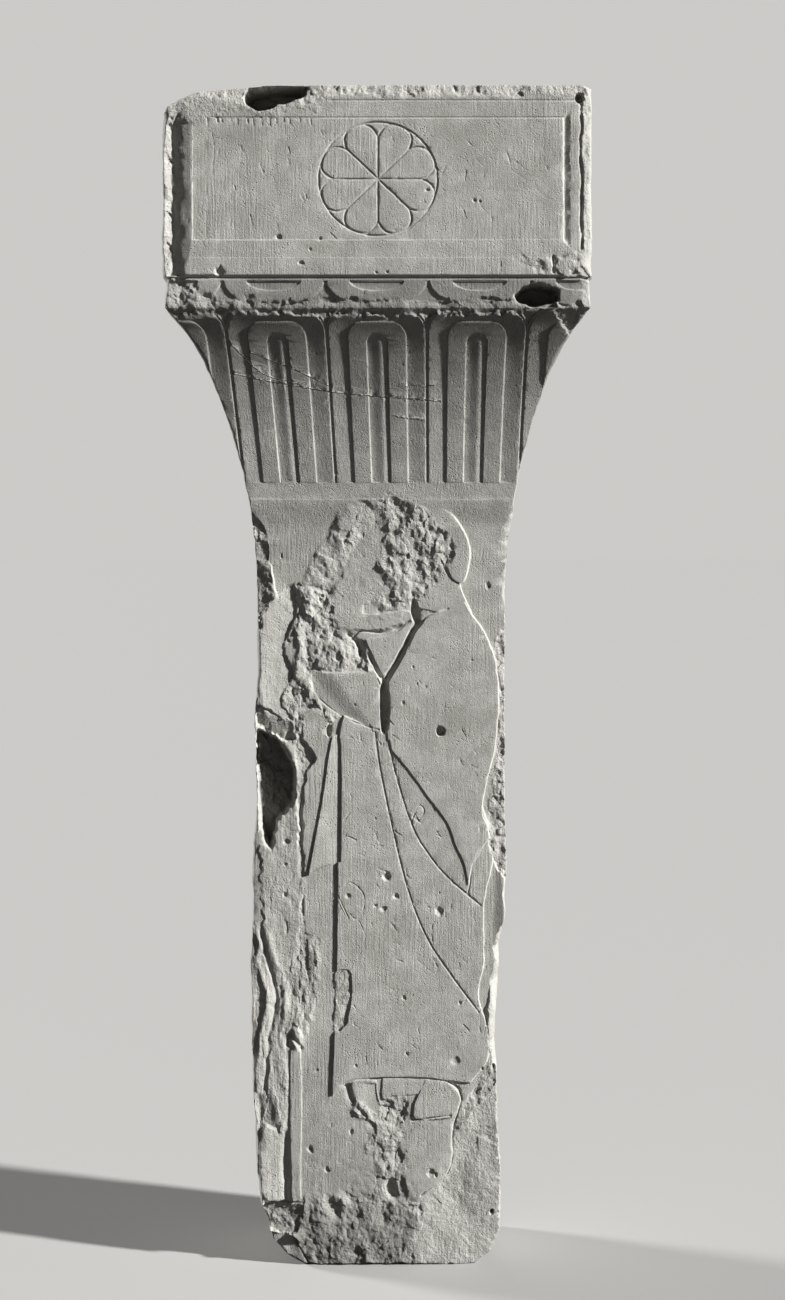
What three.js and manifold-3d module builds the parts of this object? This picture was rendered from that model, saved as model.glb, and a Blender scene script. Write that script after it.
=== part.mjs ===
// A carved stone stele, one block of limestone: a slab with a cloaked figure in very low relief,
// a curved capital with three upright leaves and a band of drooping leaf tips, and a block on top
// with a moulded panel and an eight-petalled rosette. The front faces -Y, and the slab stands on z = 0.
// Sizes are millimetres. The breaks, dowel holes and worn edges belong to the piece as it is today.
import * as THREE from "three";
import { mergeVertices } from "three/addons/utils/BufferGeometryUtils.js";
import Module from "manifold-3d";

const wasm = await Module();
wasm.setup();

// Heights of the courses, from the ground up.
const footHeight = 72; // rough foot below the line that the figure stands on
const fieldHeight = 819; // sunk field with the figure
const fasciaHeight = 18; // plain band between field and leaves
const leavesHeight = 196; // upright leaves on the curved capital
const lipHeight = 34; // band of drooping leaf tips
const blockHeight = 216; // block on top

// Plan sizes.
const shaftWidth = 293;
const shaftDepth = 165;
const blockWidth = 490;
const frontFlare = 92; // how far the block overhangs the shaft in front
const shaftShift = 5.5; // the shaft stands this far right of the block's centre
const lipSetback = 3.5; // the leaf tips lie this far behind the block's faces
const flareLength = 330; // height over which the capital curves out, up to the lip

// Carving.
const borderWidth = 6; // raised edge left at both sides of the field
const reliefDepth = 4.5; // the field's depth below the front
const fieldTopDepth = 1.2; // the same at the fascia, where the field runs out
const fieldRunOut = 60; // height over which it runs out
const figureHeight = 814; // crown of the head to the ground line
const foldGrooveWidth = 4.5;
const foldGrooveDepth = 2.2;
const leafPitchFoot = 105;
const leafPitchTop = 115;
const leafDepth = 3.2;
const leafCount = 3;
const leafBandGap = 13; // from the lip down to the arch of a leaf's raised band
const leafBandRadius = 16;
const leafChannelGap = 25; // the same for the channel inside the band
const leafSpineHeight = 2.2;
const leafCrestHeight = 2.7;
const tipFillet = 4; // plain edge above the drooping tips
const tipFootGap = 3; // from the tips' lowest points down to the lip's edge
const tipSpandrelDepth = 2.6;
const tipScoopDepth = 1.8;
const tipScoopHeight = 11;
const dividerWidth = 3.5;
const dividerDepth = 2.4;
const panelSideMargin = 16;
const panelTopMargin = 17;
const panelFootMargin = 20;
const mouldingWidth = 21;
const mouldingDepth = 5;
const mouldingCrestDepth = 0.8;
const panelDepth = 1.5;
const rosetteWidth = 133;
const rosetteHeight = 127;
const rosetteGrooveWidth = 3.4;
const rosetteGrooveDepth = 1.9;
const petalCount = 8;

// Wear and damage.
const arrisWear = 6;
const backArrisWear = 9;
const footCornerLeft = { reach: 52, height: 75 };
const footCornerRight = { reach: 24, height: 32 };
const footEdgeRound = 6;

const clearOut = 40; // how far cutters reach out in front of the stone

const fieldBottom = footHeight;
const fieldTop = fieldBottom + fieldHeight;
const fasciaTop = fieldTop + fasciaHeight;
const lipBottom = fasciaTop + leavesHeight;
const lipTop = lipBottom + lipHeight;
const overallHeight = lipTop + blockHeight;
const blockDepth = shaftDepth + frontFlare;
const backY = blockDepth / 2;
const shaftFront = backY - shaftDepth;
const blockFront = shaftFront - frontFlare;
const sideFlare = (blockWidth - shaftWidth) / 2;

const lerp = THREE.MathUtils.lerp;
const smooth = THREE.MathUtils.smoothstep;

// Share of the flare reached at height z: a slow curve that turns out sharply just below the lip.
function flareShare(z) {
  const t = THREE.MathUtils.clamp((z - lipBottom + flareLength) / flareLength, 0, 1);
  return 0.85 * t ** 2 + 0.15 * t ** 10;
}

const overhang = (z, flare) => (z > lipTop ? flare : (flare - lipSetback) * flareShare(z));
const axisX = (z) => (z > lipTop ? 0 : shaftShift * (1 - flareShare(z)));
const frontY = (z) => shaftFront - overhang(z, frontFlare);
const halfWidth = (z) => shaftWidth / 2 + overhang(z, sideFlare);

// A quarter of an ellipse that eats into an edge near the ground.
function footCut(z, { reach, height }) {
  const t = Math.max(0, 1 - z / height);
  return reach * (1 - Math.sqrt(1 - t * t));
}

const leftX = (z) => axisX(z) - halfWidth(z) + footCut(z, footCornerLeft);
const rightX = (z) => axisX(z) + halfWidth(z) - footCut(z, footCornerRight);

// Wear of an arris at height z, from a few waves that never line up.
function wear(z, size, phase) {
  const waves = Math.sin(z / 23 + phase) + Math.sin(z / 41 + 2.1 * phase) + Math.sin(z / 97 + 0.7 * phase);
  return size * (0.75 + 0.2 * waves);
}

// Geometry to solid: only the positions count, and shared corners are merged.
function solid(geometry) {
  const bare = geometry.clone();
  bare.deleteAttribute("normal");
  bare.deleteAttribute("uv");
  const merged = mergeVertices(bare, 1e-4);
  return new wasm.Manifold(
    new wasm.Mesh({
      numProp: 3,
      vertProperties: new Float32Array(merged.attributes.position.array),
      triVerts: new Uint32Array(merged.index.array),
    }),
  );
}

// Closed skin over a stack of rings with equal point counts, each ring convex and anticlockwise from above.
function loft(rings) {
  const n = rings[0].length;
  const last = (rings.length - 1) * n;
  const index = [];
  for (let i = 0; i + 1 < rings.length; i++)
    for (let j = 0; j < n; j++) {
      const a = i * n + j;
      const b = i * n + ((j + 1) % n);
      index.push(a, b, b + n, a, b + n, a + n);
    }
  for (let j = 1; j + 1 < n; j++) {
    index.push(0, j + 1, j);
    index.push(last, last + j, last + j + 1);
  }
  const geometry = new THREE.BufferGeometry();
  geometry.setAttribute("position", new THREE.Float32BufferAttribute(rings.flat(2), 3));
  geometry.setIndex(index);
  return solid(geometry);
}

const steps = (from, to, count) => Array.from({ length: count + 1 }, (_, i) => lerp(from, to, i / count));

// The blank: slab, curved capital and block with worn arrises.
function blank() {
  const heights = [
    ...[0, 0.02, 0.08, 0.2, 0.4, 0.7].map((t) => t * footCornerLeft.height),
    ...steps(footCornerLeft.height, lipBottom - flareLength, 22),
    ...steps(lipBottom - flareLength, lipBottom, 16).slice(1),
    lipTop - 0.02,
    lipTop + 0.02,
    ...steps(lipTop, overallHeight, 7).slice(1, -1),
    overallHeight - 0.6 * arrisWear,
    overallHeight,
  ];
  const rings = heights.map((z) => {
    const edge = footCut(z, { reach: footEdgeRound, height: footEdgeRound });
    const top = Math.max(0, z - (overallHeight - 0.6 * arrisWear));
    const [x0, x1] = [leftX(z) + top, rightX(z) - top];
    const [y0, y1] = [frontY(z) + edge + top, backY - edge - top];
    const [a, b] = [wear(z, arrisWear, 1), wear(z, arrisWear, 3)];
    const [c, d] = [wear(z, backArrisWear, 5), wear(z, backArrisWear, 8)];
    return [
      [x0 + a, y0, z],
      [x1 - b, y0, z],
      [x1, y0 + b, z],
      [x1, y1 - c, z],
      [x1 - c, y1, z],
      [x0 + d, y1, z],
      [x0, y1 - d, z],
      [x0, y0 + a, z],
    ];
  });
  return loft(rings);
}

// Prism whose outline is drawn on the front, in x and z, right through the stone.
function prism(outline) {
  const shape = new THREE.Shape(outline.map(([x, z]) => new THREE.Vector2(x, z)));
  const depth = blockDepth + 2 * clearOut;
  const geometry = new THREE.ExtrudeGeometry(shape, { depth, bevelEnabled: false });
  return solid(geometry.rotateX(Math.PI / 2).translate(0, backY + clearOut, 0));
}

// Sheet of stone that follows the front, between two depths below it. A depth may be a function of z.
function sheet(from, to, bottom = 0, top = overallHeight) {
  const at = (depth, z) => (typeof depth === "function" ? depth(z) : depth);
  const curve = steps(lipBottom - flareLength, lipBottom, 16);
  const runOut = [fieldTop - fieldRunOut, fieldTop - fieldRunOut / 2, fieldTop];
  const heights = [bottom, ...curve, ...runOut, lipTop - 0.02, lipTop + 0.02, top]
    .filter((z) => z >= bottom && z <= top)
    .sort((a, b) => a - b)
    .filter((z, i, all) => i === 0 || z - all[i - 1] > 0.01);
  return loft(
    heights.map((z) => [
      [-blockWidth, frontY(z) + at(from, z), z],
      [blockWidth, frontY(z) + at(from, z), z],
      [blockWidth, frontY(z) + at(to, z), z],
      [-blockWidth, frontY(z) + at(to, z), z],
    ]),
  );
}

const joined = (solids) => solids.reduce((a, b) => a.add(b));
const without = (stone, cutters) => cutters.reduce((a, b) => a.subtract(b), stone);

// Smooth line through points, which may be closed.
function curveThrough(points, perSpan = 3, closed = false) {
  const curve = new THREE.CatmullRomCurve3(
    points.map(([x, z]) => new THREE.Vector3(x, z, 0)),
    closed,
    "centripetal",
  );
  return curve.getPoints((points.length - (closed ? 0 : 1)) * perSpan).map((p) => [p.x, p.y]);
}

// Outline of several smooth runs that meet in sharp corners.
function outline(...runs) {
  return runs.flatMap((run, i) => {
    const next = runs[(i + 1) % runs.length][0];
    return curveThrough([...run, next], 2).slice(0, -1);
  });
}

// Bar of V section along a path drawn on the front. It stands out in front and bites to the given depth.
function vCutter(path, width, depth, closed = false) {
  const spread = 1 + 2 / depth; // the section starts 2 mm in front of the stone
  const rings = path.map(([x, z], i) => {
    const before = path[closed ? (i + path.length - 1) % path.length : Math.max(0, i - 1)];
    const after = path[closed ? (i + 1) % path.length : Math.min(path.length - 1, i + 1)];
    const [dx, dz] = [after[0] - before[0], after[1] - before[1]];
    const reach = (0.5 * width * spread) / Math.hypot(dx, dz);
    const [nx, nz] = [-dz * reach, dx * reach];
    return [
      [x + nx, frontY(z + nz) - 2, z + nz],
      [x - nx, frontY(z - nz) - 2, z - nz],
      [x, frontY(z) + depth, z],
    ];
  });
  const n = 3;
  const count = rings.length;
  const index = [];
  for (let i = 0; i < (closed ? count : count - 1); i++)
    for (let j = 0; j < n; j++) {
      const [a, b] = [i * n + j, i * n + ((j + 1) % n)];
      const [c, d] = [((i + 1) % count) * n + j, ((i + 1) % count) * n + ((j + 1) % n)];
      index.push(a, b, d, a, d, c);
    }
  if (!closed) index.push(0, 2, 1, (count - 1) * n, (count - 1) * n + 1, (count - 1) * n + 2);
  const geometry = new THREE.BufferGeometry();
  geometry.setAttribute("position", new THREE.Float32BufferAttribute(rings.flat(2), 3));
  geometry.setIndex(index);
  return solid(geometry);
}

// Depth of the field's ground below the front.
function groundDepth(z) {
  return lerp(reliefDepth, fieldTopDepth, smooth(z, fieldTop - fieldRunOut, fieldTop));
}

// The figure is drawn in thousandths of its height, from the middle of its foot on the ground line.
const figureUnit = figureHeight / 1000;
const figurePoint = ([x, z]) => [shaftShift + x * figureUnit, fieldBottom + z * figureUnit];
const figureOutline = (...runs) => outline(...runs.map((run) => run.map(figurePoint)));

// Flat layers of the figure, each with its height above the field's ground as a share of the relief.
const figureLayers = {
  cloak: {
    height: 0.96,
    runs: [
      [[118, 858], [129, 840], [142, 823], [153, 801], [162, 774], [166, 741], [166, 702]],
      [[161, 651], [152, 613], [143, 565], [149, 543]],
      [[156, 527], [139, 501], [128, 480]],
      [[124, 457], [119, 486], [105, 516], [94, 546], [75, 571], [37, 623], [14, 651]],
      [[9, 672], [10, 712]],
      [[10, 754], [28, 782]],
      [[54, 823], [64, 836], [78, 845], [94, 849]],
    ],
  },
  robe: {
    height: 0.72,
    runs: [
      [[-52, 702]],
      [[-60, 667], [-61, 577], [-62, 427], [-64, 300], [-69, 178]],
      [[-70, 155]],
      [[-52, 171], [-6, 181], [29, 182], [64, 181], [91, 177]],
      [[126, 174], [141, 192], [153, 215], [148, 262], [138, 292]],
      [[139, 315], [146, 349], [146, 430], [159, 491]],
      [[156, 527], [126, 605]],
      [[20, 719]],
    ],
  },
  sleeve: {
    height: 0.5,
    runs: [
      [[-100, 759], [-59, 758]],
      [[-10, 761]],
      [[0, 745]],
      [[0, 672], [-32, 688], [-53, 697], [-80, 712], [-97, 735]],
    ],
  },
  chest: {
    height: 0.42,
    runs: [
      [[-22, 805], [20, 813]],
      [[38, 830], [52, 865]],
      [[84, 883], [121, 856]],
      [[94, 845], [54, 816]],
      [[12, 754]],
      [[2, 754]],
    ],
  },
  neck: {
    height: 0.62,
    runs: [
      [[112, 886], [113, 870]],
      [[121, 856], [94, 845]],
      [[64, 850], [67, 883]],
      [[84, 912], [94, 915]],
    ],
  },
  cap: {
    height: 0.8,
    runs: [
      [[92, 915], [101, 895]],
      [[111, 886], [118, 892], [124, 915], [125, 936], [116, 960], [102, 980], [84, 993], [62, 1000]],
      [[38, 1001]],
      [[32, 987], [62, 979], [84, 962], [94, 940]],
    ],
  },
  hangingFold: {
    height: 0.3,
    runs: [
      [[-90, 719], [-72, 672]],
      [[-77, 634], [-87, 563], [-99, 506]],
      [[-104, 473]],
      [[-114, 473], [-117, 520], [-112, 670], [-109, 702]],
    ],
  },
  innerFold: {
    height: 0.5,
    runs: [
      [[-70, 667], [-58, 655]],
      [[-58, 489], [-90, 479]],
      [[-104, 470], [-96, 513], [-84, 577], [-76, 634]],
    ],
  },
  frontFoot: {
    height: 0.5,
    runs: [
      [[-40, 177]],
      [[-8, 177], [-6, 155], [0, 135]],
      [[-6, 127], [-22, 138], [-35, 148], [-42, 164]],
    ],
  },
  ankle: { height: 0.42, runs: [[[2, 179]], [[64, 178], [55, 158]], [[15, 155], [2, 150]]] },
  heel: {
    height: 0.55,
    runs: [
      [[64, 178], [91, 175], [106, 164], [114, 144]],
      [[101, 124], [69, 121], [47, 123]],
      [[49, 147]],
    ],
  },
  staff: {
    height: 0.6,
    runs: [
      [[-129, 221]],
      [[-116, 226], [-114, 150]],
      [[-116, 3]],
      [[-127, 3], [-130, 120]],
    ],
  },
};

// Fold and hem lines cut into the cloth.
const foldLines = [
  [[-9, 674], [-2, 623], [15, 541], [37, 452], [64, 382], [98, 329], [139, 274]],
  [[11, 660], [20, 615], [44, 540], [67, 500], [95, 466], [142, 426]],
  [[54, 823], [64, 836], [78, 845], [100, 849]],
];

function field() {
  const left = shaftShift - shaftWidth / 2 + borderWidth;
  const right = shaftShift + shaftWidth / 2 - borderWidth;
  const flat = prism([
    [left, fieldBottom],
    [right, fieldBottom],
    [right, fieldTop],
    [left, fieldTop],
  ]);
  return flat.intersect(sheet(-clearOut, groundDepth));
}

function figure() {
  const layers = Object.values(figureLayers).map(({ height, runs }) => {
    const top = (z) => groundDepth(z) - height * reliefDepth;
    const root = (z) => groundDepth(z) + 2;
    return prism(figureOutline(...runs)).intersect(sheet(top, root));
  });
  const grooves = foldLines.map((line) =>
    vCutter(curveThrough(line.map(figurePoint), 2), foldGrooveWidth, foldGrooveDepth + reliefDepth * 0.25),
  );
  return without(joined(layers), grooves);
}

// Leaves of the capital. Across, u runs from -0.5 to 0.5 over one leaf.
const leafIndexes = Array.from({ length: leafCount }, (_, i) => i - (leafCount - 1) / 2);
const leafPitch = (z) => lerp(leafPitchFoot, leafPitchTop, (z - fasciaTop) / leavesHeight);
const leafX = (leaf, u, z) => shaftShift * (1 - (z - fasciaTop) / leavesHeight) + (leaf + u) * leafPitch(z);

// Inverted U of a leaf: straight sides at +-u, and corners rounded to the given radius below the top.
function leafArch(leaf, u, top, radius) {
  const side = (sign) =>
    Array.from({ length: 6 }, (_, i) => {
      const angle = (i / 5) * (Math.PI / 2);
      const z = top - radius * (1 - Math.sin(angle));
      return [leafX(leaf, sign * u, z) - sign * radius * (1 - Math.cos(angle)), z];
    });
  return [
    [leafX(leaf, -u, fasciaTop), fasciaTop],
    ...side(-1),
    ...side(1).reverse(),
    [leafX(leaf, u, fasciaTop), fasciaTop],
  ];
}

const bandShare = 0.29; // half width of the raised band, of the pitch
const channelShare = 0.1; // half width of the channel inside it
const bandTop = lipBottom - leafBandGap;
const channelTop = lipBottom - leafChannelGap;
const channelRadius = 0.9 * channelShare * Math.min(leafPitchFoot, leafPitchTop);

// Ridge of triangular section that follows the front from the fascia up, about a line at u.
function ridge(leaf, u, share, height, top) {
  const rings = steps(fasciaTop - 1, top, 8).map((z) => {
    const reach = share * leafPitch(z);
    const x = leafX(leaf, u, z);
    return [
      [x - reach, frontY(z) + leafDepth + 1, z],
      [x, frontY(z) + leafDepth - height, z],
      [x + reach, frontY(z) + leafDepth + 1, z],
    ];
  });
  return loft(rings);
}

function leaves() {
  const edge = leafCount / 2;
  const zone = prism([
    [leafX(0, -edge, fasciaTop), fasciaTop],
    [leafX(0, edge, fasciaTop), fasciaTop],
    [leafX(0, edge, lipBottom), lipBottom],
    [leafX(0, -edge, lipBottom), lipBottom],
  ]);
  const bands = leafIndexes.map((leaf) =>
    prism(leafArch(leaf, bandShare, bandTop, leafBandRadius)).subtract(
      prism(leafArch(leaf, channelShare, channelTop, channelRadius)),
    ),
  );
  const sunk = without(zone, bands).intersect(sheet(-clearOut, leafDepth));
  const spines = leafIndexes.map((leaf) => ridge(leaf, 0, 0.9 * channelShare, leafSpineHeight, channelTop));
  const crests = Array.from({ length: leafCount + 1 }, (_, i) =>
    ridge(0, i - edge, 0.85 * (0.5 - bandShare), leafCrestHeight, lipBottom - 0.1),
  );
  return { sunk, raised: [...spines, ...crests] };
}

function leafDividers() {
  const edge = leafCount / 2;
  return Array.from({ length: leafCount + 1 }, (_, i) => {
    const line = steps(fasciaTop + 1, lipBottom - 1, 10).map((z) => [leafX(0, i - edge, z), z]);
    return vCutter(line, dividerWidth, dividerDepth);
  });
}

// Lower half of an ellipse that hangs from height z.
function hangingEllipse(x, z, halfSpan, drop, count = 14) {
  return Array.from({ length: count + 1 }, (_, i) => {
    const angle = Math.PI * (1 + i / count);
    return [x + halfSpan * Math.cos(angle), z + drop * Math.sin(angle)];
  });
}

// Drooping tips: the spandrels between them are sunk, and so is a scoop in each.
function leafTips() {
  const top = lipTop - tipFillet;
  const edge = leafCount / 2;
  const pitch = leafPitchTop;
  const tipDrop = lipHeight - tipFillet - tipFootGap;
  const zone = prism([
    [-edge * pitch, lipBottom],
    [edge * pitch, lipBottom],
    [edge * pitch, top],
    [-edge * pitch, top],
  ]);
  const tips = leafIndexes.map((leaf) => prism(hangingEllipse(leaf * pitch, top, pitch / 2, tipDrop)));
  const scoops = leafIndexes.map((leaf) =>
    prism(hangingEllipse(leaf * pitch, top, 0.26 * pitch, tipScoopHeight, 8)),
  );
  return [
    without(zone, tips).intersect(sheet(-clearOut, tipSpandrelDepth, lipBottom, lipTop)),
    joined(scoops).intersect(sheet(-clearOut, tipScoopDepth, lipBottom, lipTop)),
  ];
}

// Moulded frame: a mitred ring whose section is a steep groove, a roll and a second groove.
const panelBox = {
  x: blockWidth / 2 - panelSideMargin - mouldingWidth,
  bottom: lipTop + panelFootMargin + mouldingWidth,
  top: overallHeight - panelTopMargin - mouldingWidth,
};

function mouldedFrame() {
  const section = [
    [0, -clearOut],
    [mouldingWidth, -clearOut],
    [mouldingWidth, mouldingDepth],
    [0.42 * mouldingWidth, mouldingCrestDepth],
    [0.12 * mouldingWidth, mouldingDepth],
    [0, mouldingDepth],
  ];
  const corners = [
    [-1, -1],
    [1, -1],
    [1, 1],
    [-1, 1],
  ];
  const rings = corners.map(([sx, sz]) =>
    section.map(([out, depth]) => [
      sx * (panelBox.x + out),
      blockFront + depth,
      sz > 0 ? panelBox.top + out : panelBox.bottom - out,
    ]),
  );
  const n = section.length;
  const index = [];
  for (let i = 0; i < corners.length; i++)
    for (let j = 0; j < n; j++) {
      const [a, b] = [i * n + j, i * n + ((j + 1) % n)];
      const k = (i + 1) % corners.length;
      const [c, d] = [k * n + j, k * n + ((j + 1) % n)];
      index.push(a, b, d, a, d, c);
    }
  const geometry = new THREE.BufferGeometry();
  geometry.setAttribute("position", new THREE.Float32BufferAttribute(rings.flat(2), 3));
  geometry.setIndex(index);
  return solid(geometry);
}

function panel() {
  const { x, bottom, top } = panelBox;
  const reach = 0.5;
  const corners = [
    [-x - reach, bottom - reach],
    [x + reach, bottom - reach],
    [x + reach, top + reach],
    [-x - reach, top + reach],
  ];
  return prism(corners).intersect(sheet(-clearOut, panelDepth, lipTop + 1));
}

// Rosette: a ring, straight spokes, and a round end to each petal, all V grooves.
function rosette() {
  const middle = (panelBox.bottom + panelBox.top) / 2;
  const point = (radius, angle) => [
    (radius * Math.sin(angle) * rosetteWidth) / 2,
    middle + (radius * Math.cos(angle) * rosetteHeight) / 2,
  ];
  const half = Math.PI / petalCount;
  const forkRadius = 0.74; // where two petals part
  const groove = (path, closed) =>
    vCutter(path, rosetteGrooveWidth, rosetteGrooveDepth + panelDepth, closed);
  const ring = Array.from({ length: 48 }, (_, i) => point(1, (i / 48) * 2 * Math.PI));
  const cutters = [groove(ring, true)];
  for (let k = 0; k < petalCount; k++) {
    const spoke = 2 * half * k;
    cutters.push(groove([point(0.01, spoke), point(forkRadius, spoke)], false));
    const cap = Array.from({ length: 9 }, (_, i) => {
      const t = i / 4 - 1;
      const radius = lerp(1, forkRadius, Math.abs(t) ** 2.6);
      return point(radius, spoke + half + half * Math.sign(t) * Math.abs(t) ** 0.85);
    });
    cutters.push(groove(cap, false));
  }
  return cutters;
}

// Small repeatable random numbers.
function dice(seed) {
  let state = seed * 2654435761;
  return () => {
    state = (Math.imul(state ^ (state >>> 15), 2246822519) + 3266489917) >>> 0;
    return state / 4294967296;
  };
}

// Rough lump: a ball of facets, each corner pushed in or out, stretched to the given radii.
function lump([x, y, z], [rx, ry, rz], seed, roughness = 0.16, detail = 3) {
  const facets = new THREE.IcosahedronGeometry(1, detail);
  facets.deleteAttribute("normal");
  facets.deleteAttribute("uv");
  const ball = mergeVertices(facets, 1e-4);
  const roll = dice(seed);
  const position = ball.attributes.position;
  for (let i = 0; i < position.count; i++) {
    const push = 1 + roughness * (2 * roll() - 1);
    position.setXYZ(i, position.getX(i) * push, position.getY(i) * push, position.getZ(i) * push);
  }
  return solid(ball.scale(rx, ry, rz).translate(x, y, z));
}

// Ellipse drilled or broken straight back from the front at height z.
function socket(x, z, { halfWidth, halfHeight, depth }) {
  const shape = new THREE.Shape();
  shape.absellipse(x, z, halfWidth, halfHeight, 0, 2 * Math.PI);
  const options = { depth: depth + clearOut, bevelEnabled: false, curveSegments: 14 };
  const geometry = new THREE.ExtrudeGeometry(shape, options);
  return solid(geometry.rotateX(Math.PI / 2).translate(0, frontY(z) + depth, 0));
}

// Losses: where each lies on the front (x from the shaft's axis, z up from the ground line, both as shares of
// the figure's height), how far its middle stands in front of the stone, and its radii in millimetres.
const lossesOfRelief = [
  { name: "face", x: 0.032, z: 0.904, out: 5, radii: [44, 13, 74] },
  { name: "space before the face", x: -0.042, z: 0.924, out: 6, radii: [22, 13, 72] },
  { name: "raised hand", x: -0.091, z: 0.767, out: 5, radii: [26, 12, 66] },
  { name: "chin and hand", x: -0.037, z: 0.789, out: 6, radii: [36, 12, 26] },
  { name: "upper left edge", x: -0.172, z: 0.93, out: 1, radii: [18, 15, 60] },
  { name: "middle left edge", x: -0.155, z: 0.77, out: 4, radii: [26, 14, 70] },
  { name: "deep spall", x: -0.172, z: 0.598, out: 3, radii: [38, 28, 58] },
  { name: "lower left field", x: -0.13, z: 0.27, out: 8, radii: [34, 12, 110] },
  { name: "feet", x: 0.017, z: 0.076, out: 3, radii: [22, 11, 62] },
  { name: "lower right field", x: 0.148, z: 0.057, out: 6, radii: [42, 12, 92] },
  { name: "foot below the ground line", x: -0.05, z: -0.044, out: 7, radii: [112, 12, 42] },
];

// Losses of the capital and the block, from its near side (-1 left, 1 right) and from a course's height.
const lossesOfBlock = [
  { name: "top left corner", side: -1, inset: -4, z: overallHeight + 4, out: 2, radii: [60, 40, 26] },
  { name: "left edge", side: -1, inset: -3, z: lipTop + blockHeight / 2, out: 2, radii: [14, 14, 96] },
  { name: "left leaf tip", side: -1, inset: 26, z: lipBottom + 2, out: 1, radii: [62, 22, 16] },
  { name: "right leaf tip", side: 1, inset: 12, z: lipBottom - 4, out: 0, radii: [30, 22, 18] },
];

// Old cuttings for dowels: half width, half height and depth in millimetres.
const topCutting = { inset: 131, back: 22, radii: [39, 58, 31] };
const lipSocket = { inset: 66, rise: 10, halfWidth: 25, halfHeight: 13, depth: 48 };
const cornerSocket = { inset: 19, drop: 15, halfWidth: 5.5, halfHeight: 6, depth: 16 };
const figureSocket = { x: 0.084, z: 0.675, halfWidth: 6.2, halfHeight: 6.2, depth: 9 };

function damage() {
  const losses = lossesOfRelief.map(({ x, z, out, radii }, i) => {
    const [px, pz] = figurePoint([1000 * x, 1000 * z]);
    return lump([px, frontY(pz) - out, pz], radii, 3 + i);
  });
  const chips = lossesOfBlock.map(({ side, inset, z, out, radii }, i) =>
    lump([side * (blockWidth / 2 - inset), frontY(z) - out, z], radii, 29 + i),
  );
  const cutting = [-blockWidth / 2 + topCutting.inset, blockFront + topCutting.back, overallHeight + 2];
  const [figureX, figureZ] = figurePoint([1000 * figureSocket.x, 1000 * figureSocket.z]);
  return [
    ...losses,
    ...chips,
    lump(cutting, topCutting.radii, 23, 0.04),
    socket(blockWidth / 2 - lipSocket.inset, lipBottom + lipSocket.rise, lipSocket),
    socket(blockWidth / 2 - cornerSocket.inset, overallHeight - cornerSocket.drop, cornerSocket),
    socket(figureX, figureZ, figureSocket),
  ];
}

function stele() {
  const leaf = leaves();
  const whole = blank();
  let stone = without(whole, [field(), leaf.sunk]);
  stone = stone.add(figure());
  stone = stone.add(joined(leaf.raised).intersect(whole));
  const capitalCuts = [...leafDividers(), ...leafTips()];
  const blockCuts = [panel(), mouldedFrame(), ...rosette()];
  return without(stone, [...capitalCuts, ...blockCuts, ...damage()]);
}

// Largest body of a solid, so that no crumb is left loose beside the stone.
function largest(body) {
  return body.decompose().sort((a, b) => b.volume() - a.volume())[0];
}

function toGeometry(body) {
  const mesh = body.getMesh();
  const geometry = new THREE.BufferGeometry();
  geometry.setAttribute("position", new THREE.Float32BufferAttribute(mesh.vertProperties, mesh.numProp));
  geometry.setIndex(Array.from(mesh.triVerts));
  geometry.computeVertexNormals();
  return geometry;
}

const limestone = new THREE.MeshStandardMaterial({ color: 0xa5a49b, roughness: 0.9, metalness: 0 });

const model = new THREE.Group();
const stone = new THREE.Mesh(toGeometry(largest(stele())), limestone);
stone.name = "stele";
model.add(stone);

export default model;
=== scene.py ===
import math

import bpy
import numpy as np
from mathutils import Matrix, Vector


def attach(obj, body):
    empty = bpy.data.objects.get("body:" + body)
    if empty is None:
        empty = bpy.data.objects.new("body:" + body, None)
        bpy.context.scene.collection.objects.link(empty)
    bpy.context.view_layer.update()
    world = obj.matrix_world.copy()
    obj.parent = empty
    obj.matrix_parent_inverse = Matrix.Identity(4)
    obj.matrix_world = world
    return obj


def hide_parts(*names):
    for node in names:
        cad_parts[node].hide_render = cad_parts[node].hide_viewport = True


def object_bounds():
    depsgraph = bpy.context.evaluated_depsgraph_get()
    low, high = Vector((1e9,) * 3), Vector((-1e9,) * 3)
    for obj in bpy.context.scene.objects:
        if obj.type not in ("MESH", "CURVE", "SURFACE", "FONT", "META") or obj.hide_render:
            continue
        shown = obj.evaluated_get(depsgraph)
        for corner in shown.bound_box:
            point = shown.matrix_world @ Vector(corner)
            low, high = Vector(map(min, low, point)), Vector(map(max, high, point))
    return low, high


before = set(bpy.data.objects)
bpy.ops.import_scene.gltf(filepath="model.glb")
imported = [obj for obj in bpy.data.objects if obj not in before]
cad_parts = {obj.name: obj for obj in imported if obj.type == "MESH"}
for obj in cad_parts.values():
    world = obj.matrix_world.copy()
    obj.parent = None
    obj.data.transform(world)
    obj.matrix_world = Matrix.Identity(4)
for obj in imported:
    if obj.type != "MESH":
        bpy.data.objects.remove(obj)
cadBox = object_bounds()

# Shapes are worked out in millimetres: x to the right, z up, and depth from the front into the stone.
mm = 0.001

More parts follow.
